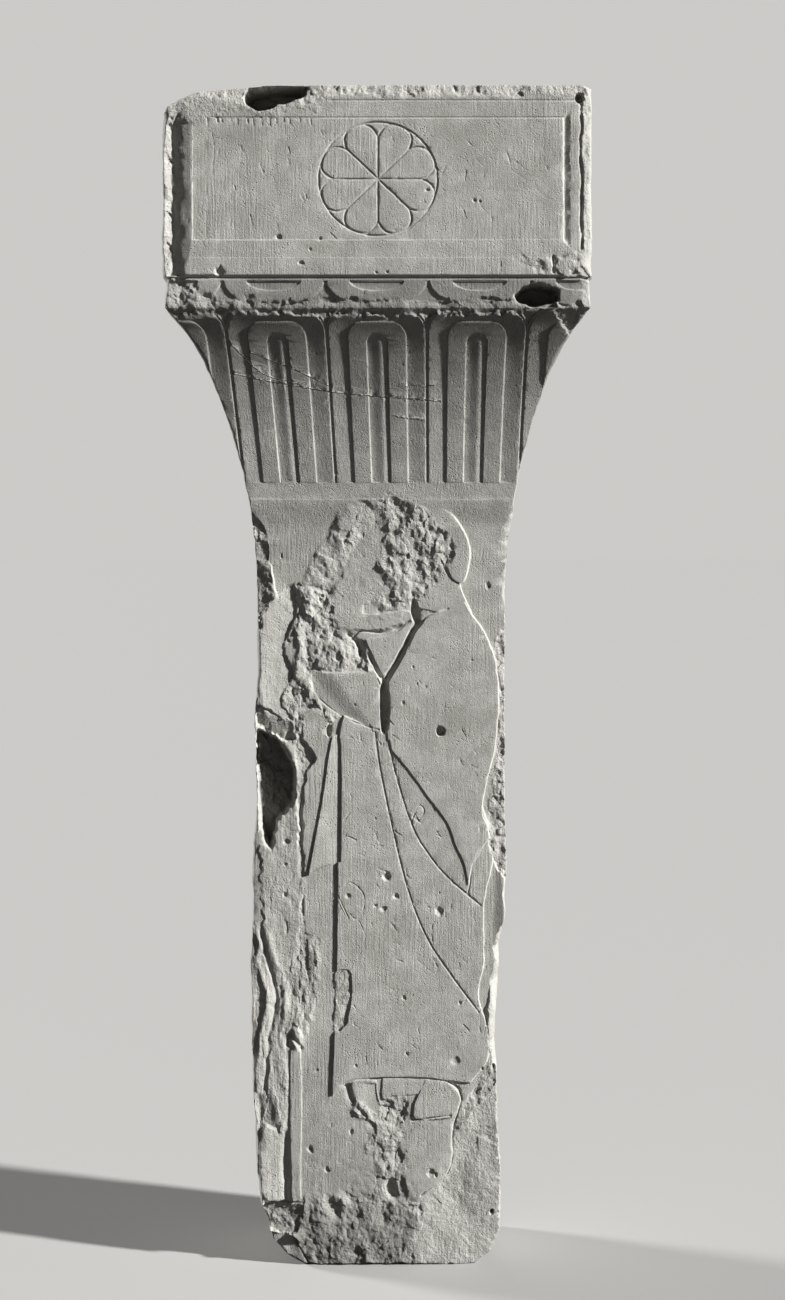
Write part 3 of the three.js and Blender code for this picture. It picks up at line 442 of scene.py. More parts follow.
# A loss has an outline, depths at one or three places on it that set its plane, the height of its roughness
# and the grain of that, and how ragged and how soft its edge is.
losses = {
    "face": {"outline": [(377, 506), (389, 494), (398, 500), (412, 504), (424, 509), (436, 525),
        (449, 536), (454, 551), (449, 564), (440, 567), (438, 578), (433, 588), (426, 595), (422, 600),
        (408, 603), (398, 611), (380, 613), (373, 606), (379, 595), (389, 592), (384, 578), (377, 567),
        (380, 551), (386, 534), (384, 518)], "plane": [(385, 500, 1.4), (450, 550, 2.4), (385, 610, 4.4)],
        "rough": 2.0, "grain": 9, "seed": 3, "rag": 1.8, "soft": 4},
    "smooth flake": {"outline": [(382, 522), (384, 536), (377, 560), (375, 578), (389, 592), (373, 599),
        (363, 606), (366, 616), (408, 611), (412, 622), (391, 628), (363, 630), (345, 631), (333, 618),
        (335, 590), (345, 560), (359, 536), (370, 525)], "plane": [(382, 522, 4.6), (335, 600, 3.6),
        (400, 620, 2.4)], "rough": 0.5, "grain": 18, "seed": 5},
    "before the face": {"outline": [(356, 503), (373, 508), (372, 524), (354, 541), (348, 555), (341, 572),
        (332, 590), (318, 602), (306, 590), (312, 566), (322, 548), (334, 528), (343, 512)],
        "plane": [(362, 506, 1.6), (350, 545, 3.6), (316, 590, 4.4)], "rough": 1.5, "grain": 10, "seed": 7,
        "soft": 6},
    "hand": {"outline": [(293, 585), (310, 588), (324, 595), (335, 613), (335, 630), (349, 640),
        (363, 641), (363, 655), (370, 672), (352, 671), (331, 671), (310, 673), (310, 687), (317, 704),
        (338, 716), (328, 722), (317, 711), (307, 716), (301, 732), (303, 753), (296, 760), (293, 736),
        (291, 715), (282, 697), (286, 674), (292, 668), (297, 648), (294, 616)], "plane": [(295, 600, 4.0),
        (365, 660, 4.2), (298, 740, 3.6)], "rough": 2.1, "grain": 8, "seed": 9, "soft": 3},
    "arm": {"outline": [(277, 596), (293, 585), (295, 610), (291, 632), (284, 654), (293, 672), (281, 700),
        (290, 720), (280, 719), (268, 711), (258, 705), (256, 660), (259, 630), (265, 612)],
        "plane": [(258, 640, 0.4), (294, 640, 8.4), (270, 705, 2.2)], "rough": 0.6, "grain": 16,
        "seed": 11, "rag": 2.6, "soft": 1.8},
    "left facet": {"outline": [(236, 496), (250, 508), (266, 532), (269, 560), (276, 595), (262, 612),
        (250, 640), (236, 660)], "plane": [(266, 550, 4.6), (248, 550, 6.6), (272, 600, 3.0)],
        "rough": 2.0, "grain": 12, "seed": 55, "rag": 1.2, "soft": 1.2},
    "right strip": {"outline": [(496, 640), (512, 640), (512, 860), (494, 860), (488, 830), (491, 800),
        (496, 765), (500, 700)], "plane": [(495, 700, 4.2), (506, 700, 5.2), (492, 840, 4.6)],
        "rough": 2.4, "grain": 10, "seed": 57, "rag": 2.2, "soft": 1.5},
    "under the arm": {"outline": [(258, 706), (268, 711), (280, 719), (290, 722), (294, 740), (284, 741),
        (272, 733), (259, 728)], "plane": [(259, 708, 3.5), (290, 725, 5), (270, 732, 10)], "rough": 1.0,
        "grain": 9, "seed": 13},
    "deep spall": {"outline": [(256, 733), (266, 733), (276, 740), (284, 752), (294, 770), (293, 800),
        (284, 815), (277, 824), (271, 846), (264, 836), (259, 805), (256, 765)], "plane": [(270, 740, 23),
        (292, 790, 21), (262, 830, 17)], "rough": 2.6, "grain": 16, "seed": 15, "rag": 1.5, "soft": 3},
    "ragged groove": {"outline": [(297, 735), (303, 740), (310, 748), (316, 760), (308, 770), (303, 800),
        (303, 850), (305, 880), (303, 905), (306, 940), (300, 960), (297, 930), (300, 880), (298, 840),
        (298, 800), (295, 765)], "plane": [(300, 760, 5.6), (316, 760, 5.6), (300, 950, 4.6)],
        "rough": 1.0, "grain": 7, "seed": 17, "rag": 1.6},
    "left of the groove": {"outline": [(260, 845), (272, 850), (278, 822), (290, 808), (297, 800),
        (299, 850), (300, 900), (298, 950), (282, 985), (272, 1000), (266, 960), (262, 900)],
        "plane": [(262, 850, 2.2), (297, 850, 2.8), (280, 980, 4.5)], "rough": 0.8, "grain": 11,
        "seed": 19, "stretch": 0.6},
    "pitted field": {"outline": [(283, 975), (296, 955), (300, 930), (312, 935), (322, 950), (318, 985),
        (314, 1010), (306, 1033), (294, 1040), (282, 1030), (276, 1005)], "plane": [(290, 960, 4.2)],
        "rough": 1.5, "grain": 7, "seed": 21, "soft": 4, "rag": 3.5, "stretch": 0.5},
    "robe's chip": {"outline": [(334, 973), (349, 971), (352, 985), (350, 1008), (345, 1026), (333, 1032),
        (336, 1000)], "plane": [(340, 1000, 3.4)], "rough": 0.8, "grain": 6, "seed": 23, "rag": 1.0,
        "soft": 1.0},
    "left strip": {"outline": [(250, 935), (262, 930), (268, 960), (276, 1000), (284, 1040), (288, 1090),
        (284, 1130), (276, 1140), (262, 1140), (254, 1100), (250, 1040)], "plane": [(252, 1000, 4.6),
        (284, 1000, 3.6), (265, 1130, 4.4)], "rough": 1.2, "grain": 9, "seed": 25, "rag": 1.5, "soft": 2.5,
        "stretch": 0.35},
    "lower left": {"outline": [(262, 1130), (278, 1132), (288, 1150), (287, 1202), (268, 1203),
        (260, 1180)], "plane": [(266, 1140, 1.8), (287, 1160, 5.4), (270, 1200, 3.0)], "rough": 0.4,
        "grain": 16, "seed": 27, "rag": 1.0, "soft": 2.0},
    "feet": {"outline": [(380, 1104), (392, 1098), (405, 1100), (408, 1118), (404, 1130), (403, 1165),
        (404, 1202), (378, 1202), (376, 1165), (366, 1145), (372, 1128), (360, 1118), (352, 1108),
        (356, 1100), (366, 1108), (378, 1122)], "plane": [(390, 1100, 4.0), (370, 1140, 4.4),
        (395, 1200, 6.5)], "rough": 2.0, "grain": 9, "seed": 29, "soft": 4},
    "lower right": {"outline": [(463, 1124), (482, 1098), (499, 1085), (510, 1080), (510, 1290),
        (396, 1290), (400, 1258), (408, 1236), (416, 1218), (424, 1195), (447, 1178), (453, 1158),
        (453, 1136)], "plane": [(455, 1130, 4.4), (500, 1130, 8.0), (420, 1240, 6.8)], "rough": 1.3,
        "grain": 24, "seed": 31, "rag": 1.2, "soft": 2.0},
    "pitted band": {"outline": [(490, 1064), (500, 1066), (492, 1091), (463, 1124), (453, 1137),
        (454, 1122), (469, 1098), (481, 1079)], "plane": [(490, 1070, 4.6), (455, 1130, 5.4),
        (470, 1100, 5.0)], "rough": 1.1, "grain": 6, "seed": 33, "rag": 1.0, "soft": 1.0},
    "right arris": {"outline": [(497, 936), (512, 930), (512, 1066), (497, 1066), (490, 1052), (487, 1020),
        (492, 985), (495, 955)], "plane": [(491, 960, 2.0), (506, 960, 11), (490, 1060, 2.4)],
        "rough": 1.2, "grain": 18, "seed": 35, "rag": 1.4, "soft": 1.5},
    "foot": {"outline": [(296, 1205), (330, 1198), (372, 1196), (422, 1204), (424, 1222), (414, 1240),
        (408, 1290), (296, 1290), (300, 1240)], "plane": [(310, 1210, 5.0), (412, 1210, 5.8),
        (412, 1262, 6.8)], "rough": 1.7, "grain": 8, "seed": 38, "soft": 7},
    "recess by the foot": {"outline": [(264, 1204), (299, 1204), (300, 1226), (292, 1236), (272, 1232),
        (264, 1218)], "plane": [(280, 1210, 9.0), (296, 1210, 7.0), (280, 1232, 10)], "rough": 1.8,
        "grain": 9, "seed": 39, "rag": 1.5, "soft": 1.5},
    "foot's left facet": {"outline": [(250, 1230), (272, 1233), (292, 1237), (300, 1250), (306, 1290),
        (240, 1290)], "plane": [(272, 1236, 7.5), (296, 1240, 5.8), (290, 1262, 7.5)], "rough": 0.8,
        "grain": 20, "seed": 43, "rag": 0.8, "soft": 1.2},
    "top edge": {"outline": [(150, 70), (610, 70), (610, 93), (560, 95), (520, 93), (470, 95), (430, 92),
        (400, 97), (360, 92), (330, 97), (312, 112), (296, 108), (270, 114), (246, 108), (236, 112),
        (210, 118), (195, 122), (180, 116), (160, 122)], "plane": [(200, 92, 4), (590, 92, 3),
        (400, 97, 1.6)], "rough": 2.2, "grain": 11, "seed": 45, "rag": 3.5, "soft": 4},
    "leaf tips, left": {"outline": [(150, 284), (180, 281), (196, 286), (214, 296), (222, 300), (246, 296),
        (268, 300), (276, 304), (262, 311), (230, 312), (190, 314), (150, 318)], "plane": [(165, 295, 4.0),
        (270, 304, 4.0), (200, 312, 5.5)], "rough": 1.5, "grain": 7, "seed": 46, "soft": 5},
    "leaf tips, foot": {"outline": [(262, 303), (300, 301), (350, 299), (400, 301), (450, 300), (515, 301),
        (520, 312), (262, 313)], "plane": [(300, 305, 4.8)], "rough": 1.1, "grain": 9, "seed": 49,
        "rag": 3.5, "soft": 3},
    "leaf tips, right": {"outline": [(556, 300), (566, 308), (580, 300), (602, 304), (602, 330),
        (572, 336), (562, 322), (557, 311)], "plane": [(570, 312, 5), (595, 312, 10), (570, 330, 7)],
        "rough": 1.5, "grain": 10, "seed": 51},
    "block's left edge": {"outline": [(150, 124), (166, 126), (170, 150), (167, 178), (171, 204),
        (168, 236), (171, 262), (166, 284), (150, 290)], "plane": [(169, 200, 5.8), (158, 200, 1.6),
        (158, 280, 1.4)], "rough": 2.4, "grain": 13, "seed": 62, "rag": 4, "soft": 3},
    "block's lower right": {"outline": [(512, 256), (540, 258), (583, 250), (588, 262), (586, 275),
        (556, 275), (530, 268)], "plane": [(512, 262, 0.8), (585, 262, 2.4), (560, 274, 1.8)],
        "rough": 1.3, "grain": 7, "seed": 59, "soft": 3},
    "block's right edge": {"outline": [(584, 84), (610, 84), (610, 312), (584, 300), (582, 272),
        (562, 274), (556, 266), (566, 258), (583, 252), (585, 200), (583, 160), (586, 120)],
        "plane": [(586, 150, 2.4), (600, 150, 8), (586, 290, 2.6)], "rough": 1.7, "grain": 16, "seed": 53,
        "rag": 4, "soft": 2},
}

breakage = {"waves": 1.15, "waveCell": 2.4, "facets": 0.5, "facetCell": 1.3, "warp": 1.5, "least": 0.2,
            "roughest": 1.8}


def lose(depth, lost, x, z, loss):  # cuts one loss into the depths, and marks it in lost by its roughness
    soft, rag = loss.get("soft", 1.6), loss.get("rag", 2.4)
    edge = inside(x, z, curved(fromPhoto(loss["outline"]), 3, True), 20)
    share = ease(edge + rag * fractal(x, z, cell=8, octaves=3, seed=loss["seed"] + 200), -soft, soft)
    near = share > 0
    px, pz = x[near], z[near]
    places = np.array([(*onStone(px0, py0), level) for px0, py0, level in loss["plane"]])
    level = places[0, 2]
    if len(places) == 3:  # the plane through the three places
        sides = places[1:] - places[0]
        slope = np.linalg.solve(sides[:, :2], sides[:, 2])
        level = level + (px - places[0, 0]) * slope[0] + (pz - places[0, 1]) * slope[1]
    cell, seed, along = loss["grain"], loss["seed"], loss.get("stretch", 1) * pz
    # waves of many sizes with a patchwork of small flat breaks over them
    warpX, warpZ = (breakage["warp"] * noise(px, pz, cell=5, seed=seed + k) for k in (80, 81))
    waves = fractal(px * 1.1, along * 0.9, breakage["waveCell"] * cell, octaves=5, seed=seed, gain=0.56)
    flats = facets(px + warpX, along + warpZ, breakage["facetCell"] * cell, seed + 100)
    bumps = breakage["waves"] * waves + breakage["facets"] * flats
    broken = np.maximum(level + loss["rough"] * bumps, breakage["least"])
    depth[near] = mix(depth[near], broken, share[near])
    lost[near] = np.maximum(lost[near], share[near] * min(1, loss["rough"] / breakage["roughest"]))


# Ridges and hollows of a bell-shaped section along a line, below 0 where they stand up.
swells = {
    "knob of the hand": {"line": [(344, 652), (347, 654)], "half": 13, "depth": -3.2},
    "right of the knob": {"line": [(349, 635), (356, 643), (361, 653)], "half": 4, "depth": 3.2},
    "knob of the staff": {"line": [(296, 1033), (297, 1046)], "half": 7, "depth": -3.6},
    "over the staff": {"line": [(287, 1046), (292, 1034), (300, 1050)], "half": 3, "depth": 3.0},
    "outer ridge": {"line": [(255, 930), (259, 945), (257, 962), (263, 980), (268, 1003), (262, 1022),
        (260, 1045), (256, 1070), (258, 1095)], "half": 5, "depth": -2.0},
    "valley by the ridge": {"line": [(262, 935), (267, 960), (274, 985), (276, 1005), (271, 1025),
        (268, 1050), (264, 1090)], "half": 3.5, "depth": 1.9},
    "second ridge": {"line": [(268, 935), (274, 958), (283, 980), (286, 1005), (281, 1030)], "half": 4,
        "depth": -1.2},
    "lower left edge": {"line": [(258, 1095), (260, 1120), (259, 1150)], "half": 5, "depth": 1.8},
    "left of the staff": {"line": [(286, 1135), (284, 1165), (286, 1200)], "half": 4, "depth": 1.8},
    "left of the spall": {"line": [(258, 745), (257, 790), (258, 830)], "half": 3, "depth": -4},
    "right of the spall": {"line": [(283, 738), (293, 758), (298, 790)], "half": 4.5, "depth": -1.2},
    "hollow, lower right": {"line": [(470, 1140), (455, 1190), (462, 1215)], "half": 24, "depth": 2.4},
    "hollow, right": {"line": [(488, 1120), (488, 1170)], "half": 22, "depth": 1.6},
    "left of the front foot": {"line": [(347, 1087), (352, 1102), (366, 1118), (374, 1128)], "half": 5,
        "depth": 2.0},
    "hole in the foot": {"line": [(390, 1184), (392, 1196)], "half": 7, "depth": 6},
    "foot's left hole": {"line": [(330, 1206), (335, 1214)], "half": 8, "depth": 3},
    "block's left hollow": {"line": [(178, 112), (170, 150), (176, 182), (171, 215), (174, 255),
        (180, 276)], "half": 8, "depth": 1.6},
}

pits = [  # place, half width and half height, depth
    (387, 877, 7.5, 7, 3.0), (396, 896, 4.5, 5, 2.2), (384, 909, 5, 3.5, 1.8), (375, 906, 3.5, 3, 1.4),
    (439, 911, 5.5, 6, 2.4), (439.5, 893, 1.6, 1.6, 2.0), (286, 842, 5, 5, 2.2), (285, 865, 3, 3, 2.0),
    (285, 895, 3, 4, 1.8), (264, 839, 3.5, 5, 2.5), (327, 1171, 4, 4.5, 2.2), (310, 1150, 4, 5, 2.6),
    (351, 1133, 3.5, 4, 2.0), (431, 1174, 6, 6, 2.4), (436, 1176, 2.5, 4, 3.5), (455.5, 1061, 6, 6, 1.6),
    (407, 1054, 3, 3.5, 1.5), (404, 998, 3.5, 4, 1.5), (460, 1003, 3, 3, 1.3), (356, 1066, 2.5, 3, 1.4),
    (317, 1071, 3, 3, 1.4), (492.5, 1215, 3, 3.6, 7), (494, 1067, 2.6, 3.4, 6), (482.5, 1069, 1.8, 2.4, 4),
    (281.5, 556, 1.8, 3.5, 2.0), (475, 200, 3.5, 3, 2.0), (480, 201, 2.5, 2.5, 1.4),
    (219.5, 271, 8, 7.5, 4.0), (279, 237, 4.5, 4, 2.2), (320, 239, 3.5, 3, 1.8), (301, 263, 4.5, 3, 2.2),
    (310, 249, 3, 2.5, 1.6), (376, 272, 2.5, 2, 1.6), (387, 272, 2.5, 2, 1.6), (427, 190, 4, 3.5, 1.6),
    (488, 586, 4, 6, 1.6), (413, 667, 2, 3, 1.5), (417, 684, 2, 3, 1.2), (403, 703, 3, 4, 1.2),
    (355, 705, 2.2, 2, 1.3), (322, 596, 2.4, 2.4, 2.6), (348, 896, 3.5, 4, 1.6), (472, 660, 2.2, 1.2, 1.6),
    (426, 785, 1.2, 1.2, 1.4),
]

cuts = {  # line, width, depth
    "loop": ([(343, 888), (349, 882.5), (359, 888), (364.5, 898), (363, 912), (356, 919.5), (348, 912)],
        2.2, 0.9),
    "loop's tail": ([(359, 921), (365.5, 937), (361, 946)], 2.0, 0.7),
    "double scratch": ([(337.5, 895), (349, 919.5)], 2.0, 1.0),
    "second scratch": ([(336, 899), (345, 915)], 1.6, 0.8),
    "scratch": ([(417, 960), (433, 974)], 1.8, 0.7),
    "faint scratch": ([(403, 916), (375, 949)], 1.6, 0.35),
    "small rectangle": ([(411.5, 822), (418.5, 805.5), (424.5, 812), (415, 825)], 2.0, 1.1),
    "back fold": ([(489, 840), (479, 852), (472, 867), (470, 884), (468, 893)], 2.6, 1.1),
    "robe's hem": ([(340, 1086), (352, 1081), (364, 1079.5), (382, 1079)], 3.0, 1.4),
    "sleeve's hem": ([(317, 697), (331, 709), (345, 718), (362, 725), (379, 730)], 2.4, 1.2),
    "collar": ([(419, 627), (426, 618), (436, 612), (448, 609)], 3.2, 1.7),
    "thin line on the panel": ([(206.6, 118), (206.6, 242)], 1.6, 0.5),
    "ledge": ([(268, 1203.5), (298, 1203.5)], 2.2, 2.0),
    "crack": ([(462, 1100), (453, 1134), (453, 1158), (447, 1176), (432, 1188), (421, 1197)], 2.6, 2.6),
    "crack in the foot": ([(292, 1236), (300, 1250), (308, 1264)], 2.4, 2.0),
    "scratch over the leaves": ([(231, 373), (280, 383), (345, 393), (440, 401)], 1.8, 0.8),
    "second over the leaves": ([(232, 345), (262, 373), (300, 384)], 1.6, 0.6),
    "third over the leaves": ([(250, 352), (300, 372), (330, 386)], 1.5, 0.5),
    "short one over the leaves": ([(398, 417), (424, 420)], 1.4, 0.5),
    "upper one over the leaves": ([(397, 386), (434, 386)], 1.4, 0.5),
    "scratch on the panel": ([(250, 214), (253, 228)], 1.8, 0.8),
    "notch": ([(553.5, 256), (553.5, 272)], 4.0, 4.5),
    "long scratch by the panel's edge": ([(212, 132), (214, 150), (212, 175)], 2.0, 0.7),
    "hook on the panel": ([(241, 145), (242, 151), (246, 152)], 1.8, 0.9),
    "second hook": ([(288, 146), (290, 153)], 2.4, 1.0),
    "mark by the rosette": ([(245, 168), (247, 190)], 1.4, 0.5),
    "long line on the panel": ([(272, 130), (275, 205)], 1.3, 0.35),
    "scratch right of the rosette": ([(476, 158), (483, 166)], 1.8, 0.8),
    "scratch right of that": ([(512, 170), (530, 183), (548, 200)], 1.3, 0.45),
    "lower scratch": ([(480, 205), (488, 214)], 1.6, 0.7),
    "line by the notch": ([(501, 255), (501, 272)], 1.6, 0.9),
    "neck": ([(413, 602), (417, 618), (411, 634), (398, 660), (385, 681)], 9, 5.0),
    "neck's left": ([(368, 654), (376, 670), (384, 681)], 5, 3.0),
    "jaw": ([(354, 636), (363, 631), (380, 633), (396, 629), (410, 621)], 3.6, 2.6),
    "heel's right": ([(449, 1083), (459, 1090), (462, 1100)], 4, 3.0),
    "heel's foot": ([(413, 1121), (430, 1119), (451, 1116)], 3, 2.2),
    "hair": ([(441, 560), (449, 577), (459, 584)], 3, 1.6),
    "chip by the sleeve": ([(259, 706), (268, 711), (280, 718)], 3.0, 2.0),
}

# Deep sockets: place, half width and half height, depth, turn, and the stone left over one at the top edge.
sockets = {
    "leaf band": {"place": (537, 295), "radii": (26, 13), "depth": 46},
    "figure": {"place": (440.5, 731.5), "radii": (6.2, 6.2), "depth": 9},
    "top right": {"place": (579.5, 97.5), "radii": (5.5, 6.5), "depth": 16},
    "top, left part": {"place": (262, 97), "radii": (21, 15), "depth": 70, "roof": 2.4},
    "top, right part": {"place": (282, 92), "radii": (32, 13), "depth": 64, "turn": 10, "roof": 2.4},
    "neck": {"place": (416, 614), "radii": (6.5, 16), "depth": 11, "turn": 12},
    "between sleeve and cloak": {"place": (384.5, 706), "radii": (6.8, 36), "depth": 12},
    "triangle at the feet": {"place": (391, 1190), "radii": (7, 10), "depth": 11},
    "head of the fold": {"place": (329, 731), "radii": (4.2, 8), "depth": 8},
}


strokes = {"count": 170, "onBlock": 60, "seed": 401}
ticks = {"count": 15, "from": 209, "pitch": 7.4, "top": 118, "seed": 403}
weathering = {"waver": 1.3, "waverCell": 13, "pitUneven": 0.22, "pitCell": 3.5, "cutDepths": (0.2, 1.3),
              "socketUneven": 0.1, "lowPits": 0.5, "lowFrom": 230, "lowTo": 90, "specks": 0.6,
              "speckCell": 3.4}


def swell(depth, x, z):  # the ridges and hollows, whose lines waver a little
    waverX = x + weathering["waver"] * fractal(x, z, weathering["waverCell"], octaves=3, seed=337)
    waverZ = z + weathering["waver"] * fractal(x, z, weathering["waverCell"], octaves=3, seed=339)
    for ridge in swells.values():
        line = fromPhoto(ridge["line"])
        far = toLine(waverX, waverZ, curved(line) if len(line) > 2 else line, 3 * ridge["half"])
        bell = np.exp(-0.5 * (1.7 * far / ridge["half"]) ** 2) * ease(far, 3 * ridge["half"], 0)
        depth += ridge["depth"] * bell


def pit(depth, x, z):
    for px, py, wide, tall, deep in pits:
        uneven = weathering["pitUneven"] * noise(x, z, weathering["pitCell"], int(px))
        bowl = oval(x, z, onStone(px, py), (wide, tall)) + uneven
        depth += deep * ease(bowl, 0, 0.75)


def cut(depth, lost, x, z):
    for name, (line, width, deep) in cuts.items():
        line = fromPhoto(line)
        far = toLine(x, z, curved(line) if len(line) > 2 else line)
        if "over the leaves" in name:  # fresh scratches show pale, marked by values over 1
            lost[:] = np.maximum(lost, 2.6 * np.clip(1 - 1.2 * far / width, 0, 1))
        strength = np.clip(0.85 + 0.5 * noise(x, z, cell=7, seed=301), *weathering["cutDepths"])
        depth += deep * strength * np.clip(1 - 2 * far / width, 0, 1)


def sink(depth, x, z):
    for socket in sockets.values():
        bowl = oval(x, z, onStone(*socket["place"]), socket["radii"], socket.get("turn", 0))
        bowl = bowl + weathering["socketUneven"] * noise(x, z, cell=6, seed=303)
        roof = ease(top - z, socket["roof"], socket["roof"] + 1.5) if "roof" in socket else 1
        depth[:] = np.maximum(depth, socket["depth"] * ease(bowl, -0.02, 0.32) * roof)


def scratch(depth, x, z):
    rng = np.random.default_rng(ticks["seed"])
    for k in range(ticks["count"]):  # upright ticks of the chisel under the panel's top edge
        px = ticks["from"] + ticks["pitch"] * k + rng.uniform(-2.6, 2.6)
        far = toLine(x, z, fromPhoto([(px, ticks["top"]), (px + 0.6, ticks["top"] + rng.uniform(2, 8))]), 3)
        depth += rng.uniform(0.5, 1.1) * np.clip(1 - far / rng.uniform(1.2, 2.0), 0, 1)
    # short strokes left by tools and knocks, on the panel and on the cloth
    rng = np.random.default_rng(strokes["seed"])
    for k in range(strokes["count"]):
        onBlock = k < strokes["onBlock"]
        px = rng.uniform(210, 550) if onBlock else rng.uniform(340, 480)
        py = rng.uniform(122, 236) if onBlock else rng.uniform(640, 1070)
        turn = math.radians(rng.normal(90 if onBlock else 60, 28))
        start = np.array(onStone(px, py))
        line = [start, start + rng.uniform(3, 11) * np.array([math.cos(turn), -math.sin(turn)])]
        far = toLine(x, z, line, 2)
        depth += rng.uniform(0.35, 0.9) * np.clip(1 - far / rng.uniform(0.8, 1.4), 0, 1)


def speckle(depth, x, z):  # small pits all over the field's lower part, and scattered ones elsewhere
    low = ease(z, weathering["lowFrom"], weathering["lowTo"]) * (z > fieldBottom)
    lowPits = ease(fractal(x, z, cell=9, octaves=4, seed=341, gain=0.6), 0.1, 1.1)
    depth += weathering["lowPits"] * low * lowPits
    specks = ease(noise(x, z, weathering["speckCell"], seed=305), 0.8, 0.97)
    depth += weathering["specks"] * specks * ease(noise(x, z, cell=45, seed=307), -0.3, 0.5)


def carve(x, z):
    depth = carveFigure(x, z) + carveLeaves(x, z) + carveTips(x, z) + carveBlock(x, z)
    lost = np.zeros(x.shape)
    for loss in losses.values():
        lose(depth, lost, x, z, loss)
    swell(depth, x, z)
    pit(depth, x, z)
    cut(depth, lost, x, z)
    sink(depth, x, z)
    scratch(depth, x, z)
    speckle(depth, x, z)
    return depth, lost


# Corners knocked off the block: two places on the edge that is left, as pixels, how far the break leans back
# into the stone, its roughness and grain.
chips = {
    "top left, side": {"edge": [(158, 136), (167, 104)], "lean": 0.1, "rough": 2.2, "grain": 16,
        "seed": 501},
    "top left, corner": {"edge": [(163, 110), (193, 95)], "lean": 0.18, "rough": 2.2, "grain": 16,
        "seed": 503},
    "top left, edge": {"edge": [(188, 96), (246, 88.5)], "lean": 0.25, "rough": 2.0, "grain": 14,
        "seed": 505},
    "top right": {"edge": [(582, 87.5), (599, 102)], "lean": 0.4, "rough": 1.2, "grain": 12, "seed": 507},
    "lip, left": {"edge": [(157, 262), (168, 322)], "lean": 0.4, "rough": 2.0, "grain": 14, "seed": 509},
    "lip, right": {"edge": [(600, 296), (586, 336)], "lean": 0.4, "rough": 1.6, "grain": 12, "seed": 511},
    "right side": {"edge": [(598.5, 110), (597, 240)], "lean": 0.5, "rough": 1.6, "grain": 22, "seed": 513},
}


def knockOff(points, chip):  # points beyond the break's plane are pushed back to it, roughened by noise
    (ax, az), (bx, bz) = (onStone(*place) for place in chip["edge"])
    normal = np.array([bz - az, 0, ax - bx])
    if normal[0] * ax + normal[2] * (az - 0.5 * top) < 0:
        normal = -normal
    normal = normal / np.linalg.norm(normal) - (0, chip["lean"], 0)
    normal = normal / np.linalg.norm(normal)
    x, y, z = points.T
    beyond = (x - ax) * normal[0] + (y - blockFront) * normal[1] + (z - az) * normal[2]
    near = beyond > -3 * chip["rough"]
    u, v = x[near] + 0.7 * y[near], z[near] - 0.5 * y[near]
    beyond[near] += chip["rough"] * fractal(u, v, chip["grain"], octaves=4, seed=chip["seed"], gain=0.55)
    beyond = beyond * ease(z, lipBottom - 40, lipBottom - 15)
    return points - np.maximum(beyond, 0)[:, None] * normal


# The block of stone: rings of points round it, one for each height, with a grid across the top and the foot

grid = {"rows": 1400, "front": 560, "side": 36, "back": 70, "triangles": 198000}

# The shaft's edges as pairs of height and place, and the width of the wear along each edge up to the top.
leftEdge = [(0, -89), (2, -89), (12, -107), (31, -124), (49, -129), (72, -138), (101, -140), (147, -143),
            (194, -147), (240, -148), (356, -149), (403, -147), (472, -147), (542, -142), (635, -145),
            (681, -141), (774, -141)]
rightEdge = [(0, 118), (6, 125), (14, 137), (37, 147), (101, 148), (205, 144), (263, 142), (310, 144),
             (379, 148), (403, 152), (472, 154), (542, 152), (774, 152)]
leftWear = [(0, 9), (300, 8), (700, 7), (900, 4), (1100, 6), (1139, 9), (1145, 9), (1355, 9)]
rightWear = [(0, 8), (230, 7), (240, 16), (370, 16), (380, 7), (900, 3.5), (1100, 6), (1139, 10),
             (1145, 13), (1355, 13)]
edges = {
    "uneven": 0.35, "share": 0.35, "roll": 0.65, "inset": 1.2, "topHeight": 9, "topDepth": 7,
    "footHeight": 15, "footUneven": 5, "footShare": 0.9, "backWidth": 12, "backDepth": 10, "backFlat": 3,
    "backInset": 7, "cornerWidth": 10, "cornerDepth": 2,
}
faces = {"front": 0.3, "sideInset": 1.6, "side": 0.6, "back": 1.3, "backUneven": 0.9, "end": 0.9,
         "endUneven": 0.7}


def edgeX(z, side):
    shaft = np.interp(z, *np.array(leftEdge if side < 0 else rightEdge).T)
    halfWidth = form["shaftWidth"] / 2 + overhang(z, sideFlare)
    axis = np.where(z > lipTop, 0, form["shaftShift"] * (1 - flareShare(z)))
    x = np.where(z < lipBottom - form["flareLength"], shaft, axis + side * halfWidth)
    rough = 0.9 * fractal(z + 40, z * 0, cell=34, octaves=3, seed=61 + side)
    rough = rough + 0.5 * fractal(z, z * 0, cell=9, octaves=2, seed=71 + side)
    return x - side * (edges["inset"] + rough)


def rounded(far, width):  # 1 at an edge, falling to 0 at the width from it as a quarter of a circle does
    return 1 - np.sqrt(1 - np.clip(1 - far / width, 0, 1) ** 2)


def sidePart(x, wear, y, z, cornerY, outwards, seed):  # one side, worn at its front and back corners
    swell = wear * edges["share"] * (1 - np.clip(1 - (y - cornerY) / wear, 0, 1) ** 2)
    behind = edges["backDepth"] * rounded(backY - y, edges["backWidth"])
    tooled = faces["side"] * fractal(y, z, cell=40, octaves=2, seed=seed) - faces["sideInset"]
    return np.stack([x + outwards * (swell - behind + tooled), y, z], -1)


